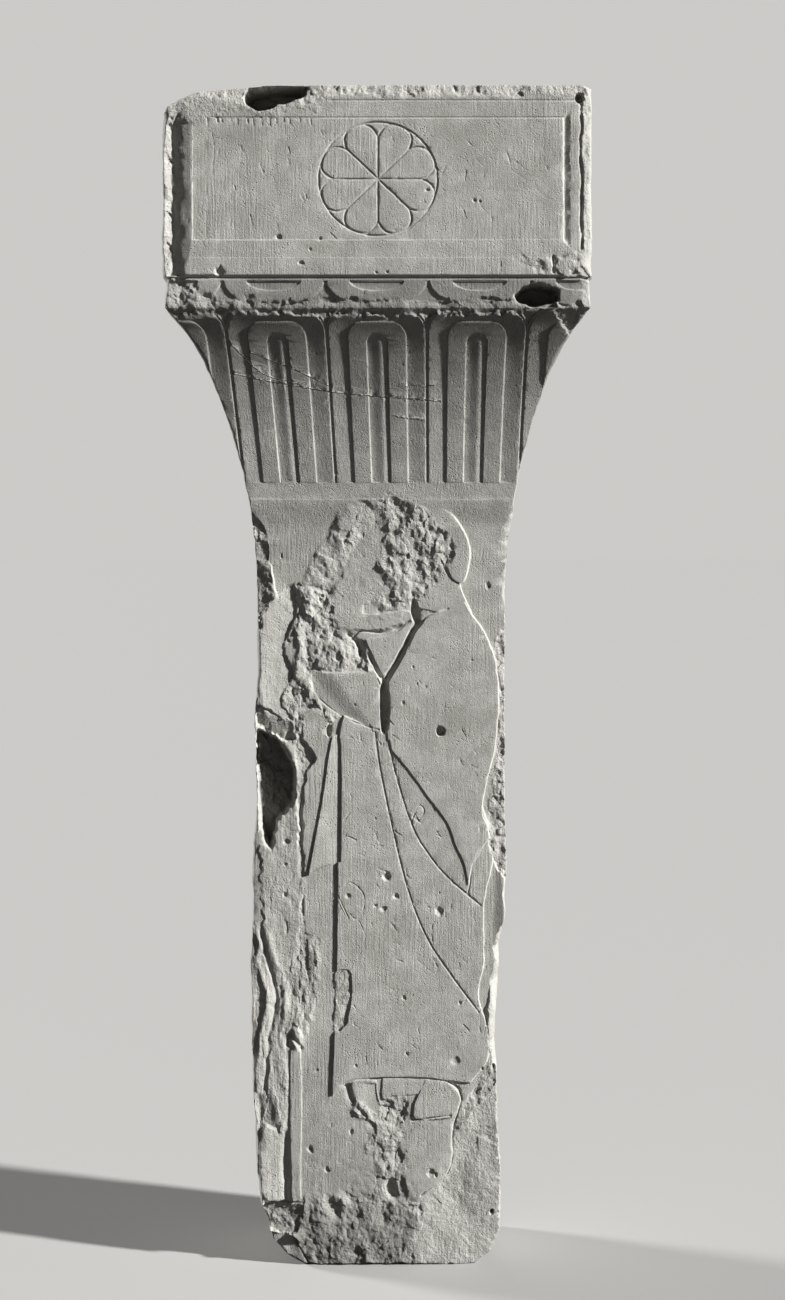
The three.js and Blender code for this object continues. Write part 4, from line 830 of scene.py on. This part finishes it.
def build():
    rows, front, side, back = grid["rows"], grid["front"], grid["side"], grid["back"]
    z = np.linspace(0, top, rows + 1)[:, None]
    uneven = [1 + edges["uneven"] * fractal(z, z * 0, cell=26, octaves=3, seed=seed) for seed in (81, 82)]
    wearL = np.interp(z, *np.array(leftWear, float).T) * uneven[0]
    wearR = np.interp(z, *np.array(rightWear, float).T) * uneven[1]
    xl, xr = edgeX(z, -1) + edges["share"] * wearL, edgeX(z, 1) - edges["share"] * wearR
    x = mix(xl, xr, np.linspace(0, 1, front + 1)[None, :])
    zz = np.broadcast_to(z, x.shape)
    depth, lost = carve(x, zz)
    depth = np.maximum(depth, edges["roll"] * wearL * rounded(x - xl, wearL))
    depth = np.maximum(depth, edges["roll"] * wearR * rounded(xr - x, wearR))
    depth = np.maximum(depth, edges["topDepth"] * rounded(top - zz, edges["topHeight"]))
    foot = edges["footHeight"] + edges["footUneven"] * fractal(x, zz * 0, cell=18, octaves=3, seed=93)
    depth = np.maximum(depth, edges["footShare"] * foot * rounded(zz, foot))
    depth = depth + faces["front"] * noise(x, zz, cell=60, seed=91)
    frontPart = np.stack([x, frontPlane(zz) + depth, zz], -1)
    # the sides run from the front corners to the back's
    t = np.linspace(0, 1, side + 1)[None, 1:-1]
    cornerL, cornerR, cornerBack = frontPart[:, :1, 1], frontPart[:, -1:, 1], backY - edges["backFlat"]
    ty = mix(cornerR, cornerBack, t)
    tz = np.broadcast_to(z, ty.shape)
    rightPart = sidePart(xr, wearR, ty, tz, ty[:, :1], 1, 95)
    leftPart = sidePart(xl, wearL, mix(cornerBack, cornerL, t), tz, cornerL, -1, 97)
    backLeft, backRight = xl + edges["backInset"], xr - edges["backInset"]
    bx = mix(backRight, backLeft, np.linspace(0, 1, back + 1)[None, :])
    bz = np.broadcast_to(z, bx.shape)
    corner = np.maximum(1 - (bx - backLeft) / edges["cornerWidth"], 0)
    corner = corner + np.maximum(1 - (backRight - bx) / edges["cornerWidth"], 0)
    dent = faces["back"] + faces["backUneven"] * fractal(bx, bz, cell=48, octaves=3, seed=99)
    backPart = np.stack([bx, backY - np.maximum(dent, 0) - edges["cornerDepth"] * corner, bz], -1)
    return np.concatenate([frontPart, rightPart, backPart, leftPart], 1), lost


def weld(rings):  # points, four-sided and three-sided faces of the closed block
    rows, count = rings.shape[0] - 1, rings.shape[1]
    front, side, back = grid["front"], grid["side"], grid["back"]
    ring = np.arange(count)
    below = np.arange(rows)[:, None] * count
    nextOne = (ring + 1) % count
    above = below + count
    quads = [np.stack([below + ring, below + nextOne, above + nextOne, above + ring], -1).reshape(-1, 4)]
    points = [rings.reshape(-1, 3)]
    triangles = []
    total = (rows + 1) * count
    t = np.linspace(0, 1, side + 1)[1:-1, None, None]
    frontShare, backShare = np.linspace(0, 1, front + 1), np.linspace(0, 1, back + 1)
    share = frontShare[None, 1:-1, None]
    for row, atFoot in ((rows, False), (0, True)):
        base = row * count
        frontRow = base + np.arange(front + 1)
        backRow = base + front + side + np.arange(back + 1)[::-1]
        rightColumn = base + front + np.arange(side + 1)
        leftColumn = base + (count - np.arange(side + 1)) % count
        # points spread between the front edge and the back one, dented a little away from the rim
        frontPoints = rings[row, :front + 1][None, 1:-1]
        backPoints = rings[row, front + side:front + side + back + 1][::-1]
        backPoints = np.stack([np.interp(frontShare, backShare, backPoints[:, i]) for i in range(3)], -1)
        middle = mix(frontPoints, backPoints[None, 1:-1], t)
        fade = np.minimum(1, 8 * np.minimum(t, 1 - t)) * np.minimum(1, 40 * np.minimum(share, 1 - share))
        dent = fractal(middle[..., 0], middle[..., 1], cell=36, octaves=4, seed=111)
        dent = np.maximum(faces["end"] + faces["endUneven"] * dent, 0) * fade[..., 0]
        middle[..., 2] += dent if atFoot else -dent
        points.append(middle.reshape(-1, 3))
        inner = total + np.arange((side - 1) * (front - 1)).reshape(side - 1, front - 1)
        total += inner.size
        sheet = np.hstack([leftColumn[1:-1, None], inner, rightColumn[1:-1, None]])
        sheet = np.vstack([frontRow, sheet])
        cap = np.stack([sheet[:-1, :-1], sheet[:-1, 1:], sheet[1:, 1:], sheet[1:, :-1]], -1).reshape(-1, 4)
        # the back has fewer points, so several of the last row's fan out from each of them
        last = sheet[-1]
        step = front // back
        fan = []
        for i in range(step):
            target = backRow[:-1] if i < step / 2 else backRow[1:]
            fan.append(np.stack([last[i:-1:step][:back], last[i + 1::step][:back], target], -1))
        fan.append(np.stack([backRow[:-1], last[step // 2::step][:back], backRow[1:]], -1))
        fan = np.vstack(fan)
        quads.append(cap[:, ::-1] if atFoot else cap)
        triangles.append(fan[:, ::-1] if atFoot else fan)
    return np.vstack(points), np.vstack(quads), np.vstack(triangles)


def meshFrom(name, points, quads, triangles):
    mesh = bpy.data.meshes.new(name)
    loops = np.concatenate([quads.ravel(), triangles.ravel()])
    sizes = np.concatenate([np.full(len(quads), 4), np.full(len(triangles), 3)])
    mesh.vertices.add(len(points))
    mesh.vertices.foreach_set("co", np.ascontiguousarray(points * mm, np.float32).ravel())
    mesh.loops.add(len(loops))
    mesh.loops.foreach_set("vertex_index", loops.astype(np.int32))
    mesh.polygons.add(len(sizes))
    starts = np.concatenate([[0], np.cumsum(sizes)[:-1]])
    mesh.polygons.foreach_set("loop_start", starts.astype(np.int32))
    mesh.update(calc_edges=True)
    mesh.validate()
    return mesh


rings, lost = build()
print("stele: rings worked out", rings.shape)
points, quads, triangles = weld(rings)
for chip in chips.values():
    points = knockOff(points, chip)
rough = bpy.data.objects.new("blank", meshFrom("blank", points, quads, triangles))
rough.data.shade_smooth()
bpy.context.scene.collection.objects.link(rough)
thin = rough.modifiers.new("thin", "DECIMATE")
thin.ratio = grid["triangles"] / (2 * len(quads) + len(triangles))
even = rough.modifiers.new("even", "WEIGHTED_NORMAL")  # keeps the flats flat beside crisp edges
even.weight = 100
stone = bpy.data.objects.new("stele", bpy.data.meshes.new_from_object(
    rough.evaluated_get(bpy.context.evaluated_depsgraph_get())))
bpy.context.scene.collection.objects.link(stone)
bpy.data.objects.remove(rough)
place = np.empty(3 * len(stone.data.vertices), np.float32)
stone.data.vertices.foreach_get("co", place)
# thinning may carry a point past the block's faces
place = np.clip(place.reshape(-1, 3), cadBox[0], cadBox[1])
stone.data.vertices.foreach_set("co", np.ascontiguousarray(place, np.float32).ravel())
print("stele: thinned to", len(stone.data.polygons), "faces")
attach(stone, "root")
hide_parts("stele")


def mark(stone, name, field):  # the field, sampled on the front's grid, as a value for each vertex
    count = len(stone.data.vertices)
    place = np.empty(3 * count, np.float32)
    stone.data.vertices.foreach_get("co", place)
    x, y, z = place.reshape(-1, 3).T / mm
    row = np.clip(z / top * grid["rows"], 0, grid["rows"] - 0.001)
    low = row.astype(int)
    left = np.interp(row, np.arange(grid["rows"] + 1), rings[:, 0, 0])
    right = np.interp(row, np.arange(grid["rows"] + 1), rings[:, grid["front"], 0])
    column = np.clip((x - left) / (right - left) * grid["front"], 0, grid["front"]).astype(int)
    value = field[low, column] * (y < frontPlane(z) + 30)
    layer = stone.data.attributes.new(name, "FLOAT", "POINT")
    layer.data.foreach_set("value", np.ascontiguousarray(value, np.float32))


mark(stone, "broken", lost)
# painted shade: hollows more than 13 to 20 mm into the stone are marked, and the material darkens them as if
# the shade fell in them
frontZ = rings[:, :grid["front"] + 1, 2]
mark(stone, "deep", ease(rings[:, :grid["front"] + 1, 1] - frontPlane(frontZ), 13, 20))

# Colours, how strongly each is laid on, and where the dark tints fade in and out again, in metres.
limestone = {
    "face": (0.43, 0.42, 0.385, 1), "pale": (0.56, 0.55, 0.51, 1), "stain": (0.25, 0.24, 0.21, 1),
    # the dark colour serves both as the damp stain at the foot and as painted shade in the hollow under the
    # lip and in the deepest breaks
    "fresh": (0.5, 0.49, 0.455, 1), "dirtAndShade": (0.12, 0.116, 0.105, 1), "scratch": (0.8, 0.79, 0.75, 1),
    "stainShare": 0.35, "freshShare": 0.5, "speckShare": 0.28, "pinholeShare": 0.5, "underLipShadeShare": 0.6,
    "lipShare": 0.4, "deepShadeShare": 0.8, "edgeHighlightShare": 0.35, "lipAcross": (-0.2, -0.15, 0.215, 0.24),
    "footAcross": (-0.105, -0.09, 0.03, 0.055), "damp": [(0.24, 0.07, 0.25), (0.085, 0.04, 0.5)],
    "grainSize": 1.1, "strokeWidth": 2.2, "strokeHeight": 0.8, "smoothest": 0.84, "roughest": 0.95,
    "shine": 0.25, "bump": 0.9, "bumpHeight": 0.001,
}


def nodeGroup(name, inputs, outputs):
    group = bpy.data.node_groups.new(name, "ShaderNodeTree")
    for label, kind, value in inputs:
        socket = group.interface.new_socket(label, in_out="INPUT", socket_type=kind)
        if value is not None:
            socket.default_value = value
    for label, kind in outputs:
        group.interface.new_socket(label, in_out="OUTPUT", socket_type=kind)
    return group, group.nodes.new("NodeGroupInput"), group.nodes.new("NodeGroupOutput")


def addNode(tree, kind, links=None, **settings):  # a node, its inputs set to values or linked to sockets
    node = tree.nodes.new(kind)
    for key, value in settings.items():
        setattr(node, key, value)
    for key, value in (links or {}).items():
        if isinstance(value, bpy.types.NodeSocket):
            tree.links.new(value, node.inputs[key])
        else:
            node.inputs[key].default_value = value
    return node


def reckon(tree, operation, a, b=0.0):
    return addNode(tree, "ShaderNodeMath", {0: a, 1: b}, operation=operation).outputs[0]


def product(tree, first, *others):
    for other in others:
        first = reckon(tree, "MULTIPLY", first, other)
    return first


def band(tree, value, low, high, outLow=0.0, outHigh=1.0):  # eased from one value at low to another at high
    limits = {"Value": value, "From Min": low, "From Max": high, "To Min": outLow, "To Max": outHigh}
    return addNode(tree, "ShaderNodeMapRange", limits, interpolation_type="SMOOTHSTEP").outputs["Result"]


def between(tree, value, start, full, last, end):  # 1 from full to last, 0 before the start and past the end
    return product(tree, band(tree, value, start, full), band(tree, value, end, last))


def texture(tree, place, scale, detail, roughness=0.5):
    settings = {"Vector": place, "Scale": scale, "Detail": detail, "Roughness": roughness}
    return addNode(tree, "ShaderNodeTexNoise", settings).outputs["Fac"]


def blend(tree, share, a, b):
    inputs = {"Factor": share, "A": a, "B": b}
    return addNode(tree, "ShaderNodeMix", inputs, data_type="RGBA").outputs["Result"]


def grainGroup():  # height of the stone's grain: fine grain, coarser lumps and pinholes
    group, given, result = nodeGroup(
        "stone grain", [("Place", "NodeSocketVector", None), ("Size", "NodeSocketFloat", 1.0),
                        ("Coarse", "NodeSocketFloat", 0.0)],
        [("Height", "NodeSocketFloat"), ("Pinholes", "NodeSocketFloat")])
    place, size = given.outputs["Place"], given.outputs["Size"]
    scale = reckon(group, "DIVIDE", 1000.0, size)
    fine = texture(group, place, scale, 4.0, 0.62)
    lumps = texture(group, place, reckon(group, "DIVIDE", scale, 4.5), 5.0, 0.6)
    cellScale = reckon(group, "DIVIDE", scale, 3.2)
    cells = addNode(group, "ShaderNodeTexVoronoi", {"Vector": place, "Scale": cellScale})
    where = texture(group, place, 38.0, 2.0)
    holes = product(group, band(group, cells.outputs["Distance"], 0.3, 0.12), band(group, where, 0.48, 0.66))
    lumpy = product(group, lumps, reckon(group, "MULTIPLY_ADD", given.outputs["Coarse"], 2.2))
    height = reckon(group, "ADD", product(group, fine, 0.8), lumpy)
    height = reckon(group, "SUBTRACT", height, product(group, holes, 0.8))
    group.links.new(height, result.inputs["Height"])
    group.links.new(holes, result.inputs["Pinholes"])
    return group


def strokesGroup():  # height of fine upright strokes of a toothed chisel, worn away in patches
    group, given, result = nodeGroup(
        "chisel strokes", [("Place", "NodeSocketVector", None), ("Width", "NodeSocketFloat", 2.2)],
        [("Height", "NodeSocketFloat")])
    place, width = given.outputs["Place"], given.outputs["Width"]
    stretched = addNode(group, "ShaderNodeMapping", {"Vector": place, "Scale": (1, 1, 0.06)})
    lines = texture(group, stretched.outputs["Vector"], reckon(group, "DIVIDE", 1000.0, width), 2.0)
    left = band(group, texture(group, place, 14.0, 2.0), 0.35, 0.65, 0.25, 1.0)
    group.links.new(product(group, lines, left), result.inputs["Height"])
    return group


def stains():  # masks of broad weather stains, of paler clouds and of small dark spots
    group, given, result = nodeGroup(
        "weather stains", [("Place", "NodeSocketVector", None)],
        [("Stain", "NodeSocketFloat"), ("Cloud", "NodeSocketFloat"), ("Specks", "NodeSocketFloat")])
    place = given.outputs["Place"]
    group.links.new(band(group, texture(group, place, 9.0, 6.0, 0.6), 0.5, 0.72), result.inputs["Stain"])
    group.links.new(band(group, texture(group, place, 45.0, 5.0, 0.65), 0.35, 0.68), result.inputs["Cloud"])
    group.links.new(band(group, texture(group, place, 620.0, 3.0, 0.7), 0.3, 0.72), result.inputs["Specks"])
    return group


def limestoneMaterial():
    material = bpy.data.materials.new("limestone")
    material.use_nodes = True
    tree = material.node_tree
    shader = tree.nodes["Principled BSDF"]
    place = addNode(tree, "ShaderNodeTexCoord").outputs["Object"]
    broken = addNode(tree, "ShaderNodeAttribute", attribute_name="broken").outputs["Fac"]
    deep = addNode(tree, "ShaderNodeAttribute", attribute_name="deep").outputs["Fac"]
    grain = addNode(tree, "ShaderNodeGroup", node_tree=grainGroup())
    grain.inputs["Size"].default_value = limestone["grainSize"]
    tree.links.new(place, grain.inputs["Place"])
    tree.links.new(broken, grain.inputs["Coarse"])
    strokes = addNode(tree, "ShaderNodeGroup", node_tree=strokesGroup())
    strokes.inputs["Width"].default_value = limestone["strokeWidth"]
    tree.links.new(place, strokes.inputs["Place"])
    marks = addNode(tree, "ShaderNodeGroup", node_tree=stains())
    tree.links.new(place, marks.inputs["Place"])
    # pointiness picks out convex edges and ridges for a painted highlight
    worn = addNode(tree, "ShaderNodeNewGeometry").outputs["Pointiness"]

    def tint(colour, mask, share, other):  # lays another colour over this one
        return blend(tree, product(tree, mask, limestone[share]), colour, limestone[other])

    colour = blend(tree, marks.outputs["Cloud"], limestone["face"], limestone["pale"])
    colour = tint(colour, marks.outputs["Stain"], "stainShare", "stain")
    colour = tint(colour, broken, "freshShare", "fresh")
    colour = tint(colour, marks.outputs["Specks"], "speckShare", "stain")
    colour = tint(colour, grain.outputs["Pinholes"], "pinholeShare", "stain")
    # painted shade: the hollow under the lip turns downwards, away from the light, and is darkened with the
    # dark colour, more towards its top
    across, inward, height = addNode(tree, "ShaderNodeSeparateXYZ", {"Vector": place}).outputs
    notBack = band(tree, inward, (backY - 4) * mm, (backY - 16) * mm)
    limits = [(fasciaTop - 3) * mm, (fasciaTop + 3) * mm, (lipBottom - 4) * mm, (lipBottom + 6) * mm]
    more = band(tree, height, fasciaTop * mm, lipBottom * mm, 0.25, 1.0)
    underLipShade = product(tree, more, between(tree, height, *limits), notBack)
    colour = tint(colour, underLipShade, "underLipShadeShare", "dirtAndShade")
    # the lip is darkened as well, over most of its width
    limits = [(lipBottom - 2) * mm, (lipBottom + 2) * mm, (lipTop - 3) * mm, (lipTop + 1) * mm]
    onLip = product(tree, between(tree, height, *limits), notBack,
                    between(tree, across, *limestone["lipAcross"]))
    colour = tint(colour, onLip, "lipShare", "dirtAndShade")
    # damp has stained the foot, but not the fresher break at its right
    stained = between(tree, across, *limestone["footAcross"])
    for high, low, strength in limestone["damp"]:
        share = product(tree, stained, band(tree, height, high, low, 0.0, strength))
        colour = blend(tree, share, colour, limestone["dirtAndShade"])
    # painted shade in the deepest hollows
    colour = tint(colour, deep, "deepShadeShare", "dirtAndShade")
    # painted highlight: convex edges and ridges are made paler, as where they catch the light
    colour = tint(colour, band(tree, worn, 0.52, 0.6), "edgeHighlightShare", "pale")
    colour = blend(tree, band(tree, broken, 1.1, 2.0), colour, limestone["scratch"])
    tree.links.new(colour, shader.inputs["Base Color"])
    rough = band(tree, marks.outputs["Cloud"], 0.0, 1.0, limestone["smoothest"], limestone["roughest"])
    tree.links.new(rough, shader.inputs["Roughness"])
    shader.inputs["Specular IOR Level"].default_value = limestone["shine"]
    tooled = product(tree, strokes.outputs["Height"], limestone["strokeHeight"])
    bump = {"Height": reckon(tree, "ADD", grain.outputs["Height"], tooled),
            "Strength": limestone["bump"], "Distance": limestone["bumpHeight"]}
    tree.links.new(addNode(tree, "ShaderNodeBump", bump).outputs["Normal"], shader.inputs["Normal"])
    return material


stone.data.materials.clear()
stone.data.materials.append(limestoneMaterial())
print("limestone: material made")

# Floor, lights and camera

studio = {
    "floorSize": 40, "floorRoughness": 0.8, "floorColour": (0.4, 0.396, 0.385, 1),
    "bounceColour": (0.05, 0.05, 0.05, 1), "sensor": 36,
    "backdrop": (0.6, 0.595, 0.58, 1), "backdropBounce": (0.022, 0.022, 0.023, 1),
    "key": {"from": (0.86, -0.33, 0.46), "strength": 7.6, "softness": 3},
    "rim": {"from": (-0.85, 0.36, 0.32), "strength": 3.6, "softness": 10},
}


def newMaterial(name):
    material = bpy.data.materials.new(name)
    material.use_nodes = True
    return material, material.node_tree, material.node_tree.nodes["Principled BSDF"]


def seenDirectly(tree, seen, otherwise):  # one colour for the camera, a darker one for bounced light
    path = tree.nodes.new("ShaderNodeLightPath")
    choice = tree.nodes.new("ShaderNodeMix")
    choice.data_type = "RGBA"
    choice.inputs["A"].default_value = otherwise
    choice.inputs["B"].default_value = seen
    tree.links.new(path.outputs["Is Camera Ray"], choice.inputs["Factor"])
    return choice.outputs["Result"]


half = studio["floorSize"]
floorMesh = bpy.data.meshes.new("floor")
corners = [(-half, -half, 0), (half, -half, 0), (half, half, 0), (-half, half, 0)]
floorMesh.from_pydata(corners, [], [(0, 1, 2, 3)])
floor = bpy.data.objects.new("floor", floorMesh)
bpy.context.scene.collection.objects.link(floor)
paint, tree, shader = newMaterial("pale floor")
floorColour = seenDirectly(tree, studio["floorColour"], studio["bounceColour"])
tree.links.new(floorColour, shader.inputs["Base Color"])
shader.inputs["Roughness"].default_value = studio["floorRoughness"]
floorMesh.materials.append(paint)

for name in ("key", "rim"):
    data = bpy.data.lights.new(name, "SUN")
    data.energy = studio[name]["strength"]
    data.angle = math.radians(studio[name]["softness"])
    lamp = bpy.data.objects.new(name, data)
    lamp.rotation_euler = (-Vector(studio[name]["from"])).to_track_quat("-Z", "Y").to_euler()
    bpy.context.scene.collection.objects.link(lamp)

world = bpy.data.worlds.new("studio")
bpy.context.scene.world = world
world.use_nodes = True
colour = seenDirectly(world.node_tree, studio["backdrop"], studio["backdropBounce"])
world.node_tree.links.new(colour, world.node_tree.nodes["Background"].inputs["Color"])
bpy.context.scene.view_settings.view_transform = "Standard"

camera = bpy.data.cameras.new("camera")
cameraObject = bpy.data.objects.new("camera", camera)
bpy.context.scene.collection.objects.link(cameraObject)
bpy.context.scene.camera = cameraObject
axisX, axisZ = ((photo["axis"][0] - photo["originPixel"][0]) * photo["scale"],
                (photo["originPixel"][1] - photo["axis"][1]) * photo["scale"])
cameraObject.location = (axisX * mm, (shaftFront - photo["distance"]) * mm, axisZ * mm)
cameraObject.rotation_euler = (math.radians(90), 0, 0)
camera.sensor_width = studio["sensor"]
camera.lens = studio["sensor"] * photo["distance"] / (photo["height"] * photo["scale"])
camera.shift_x = (photo["width"] / 2 - photo["axis"][0]) / photo["height"]
camera.shift_y = -(photo["height"] / 2 - photo["axis"][1]) / photo["height"]
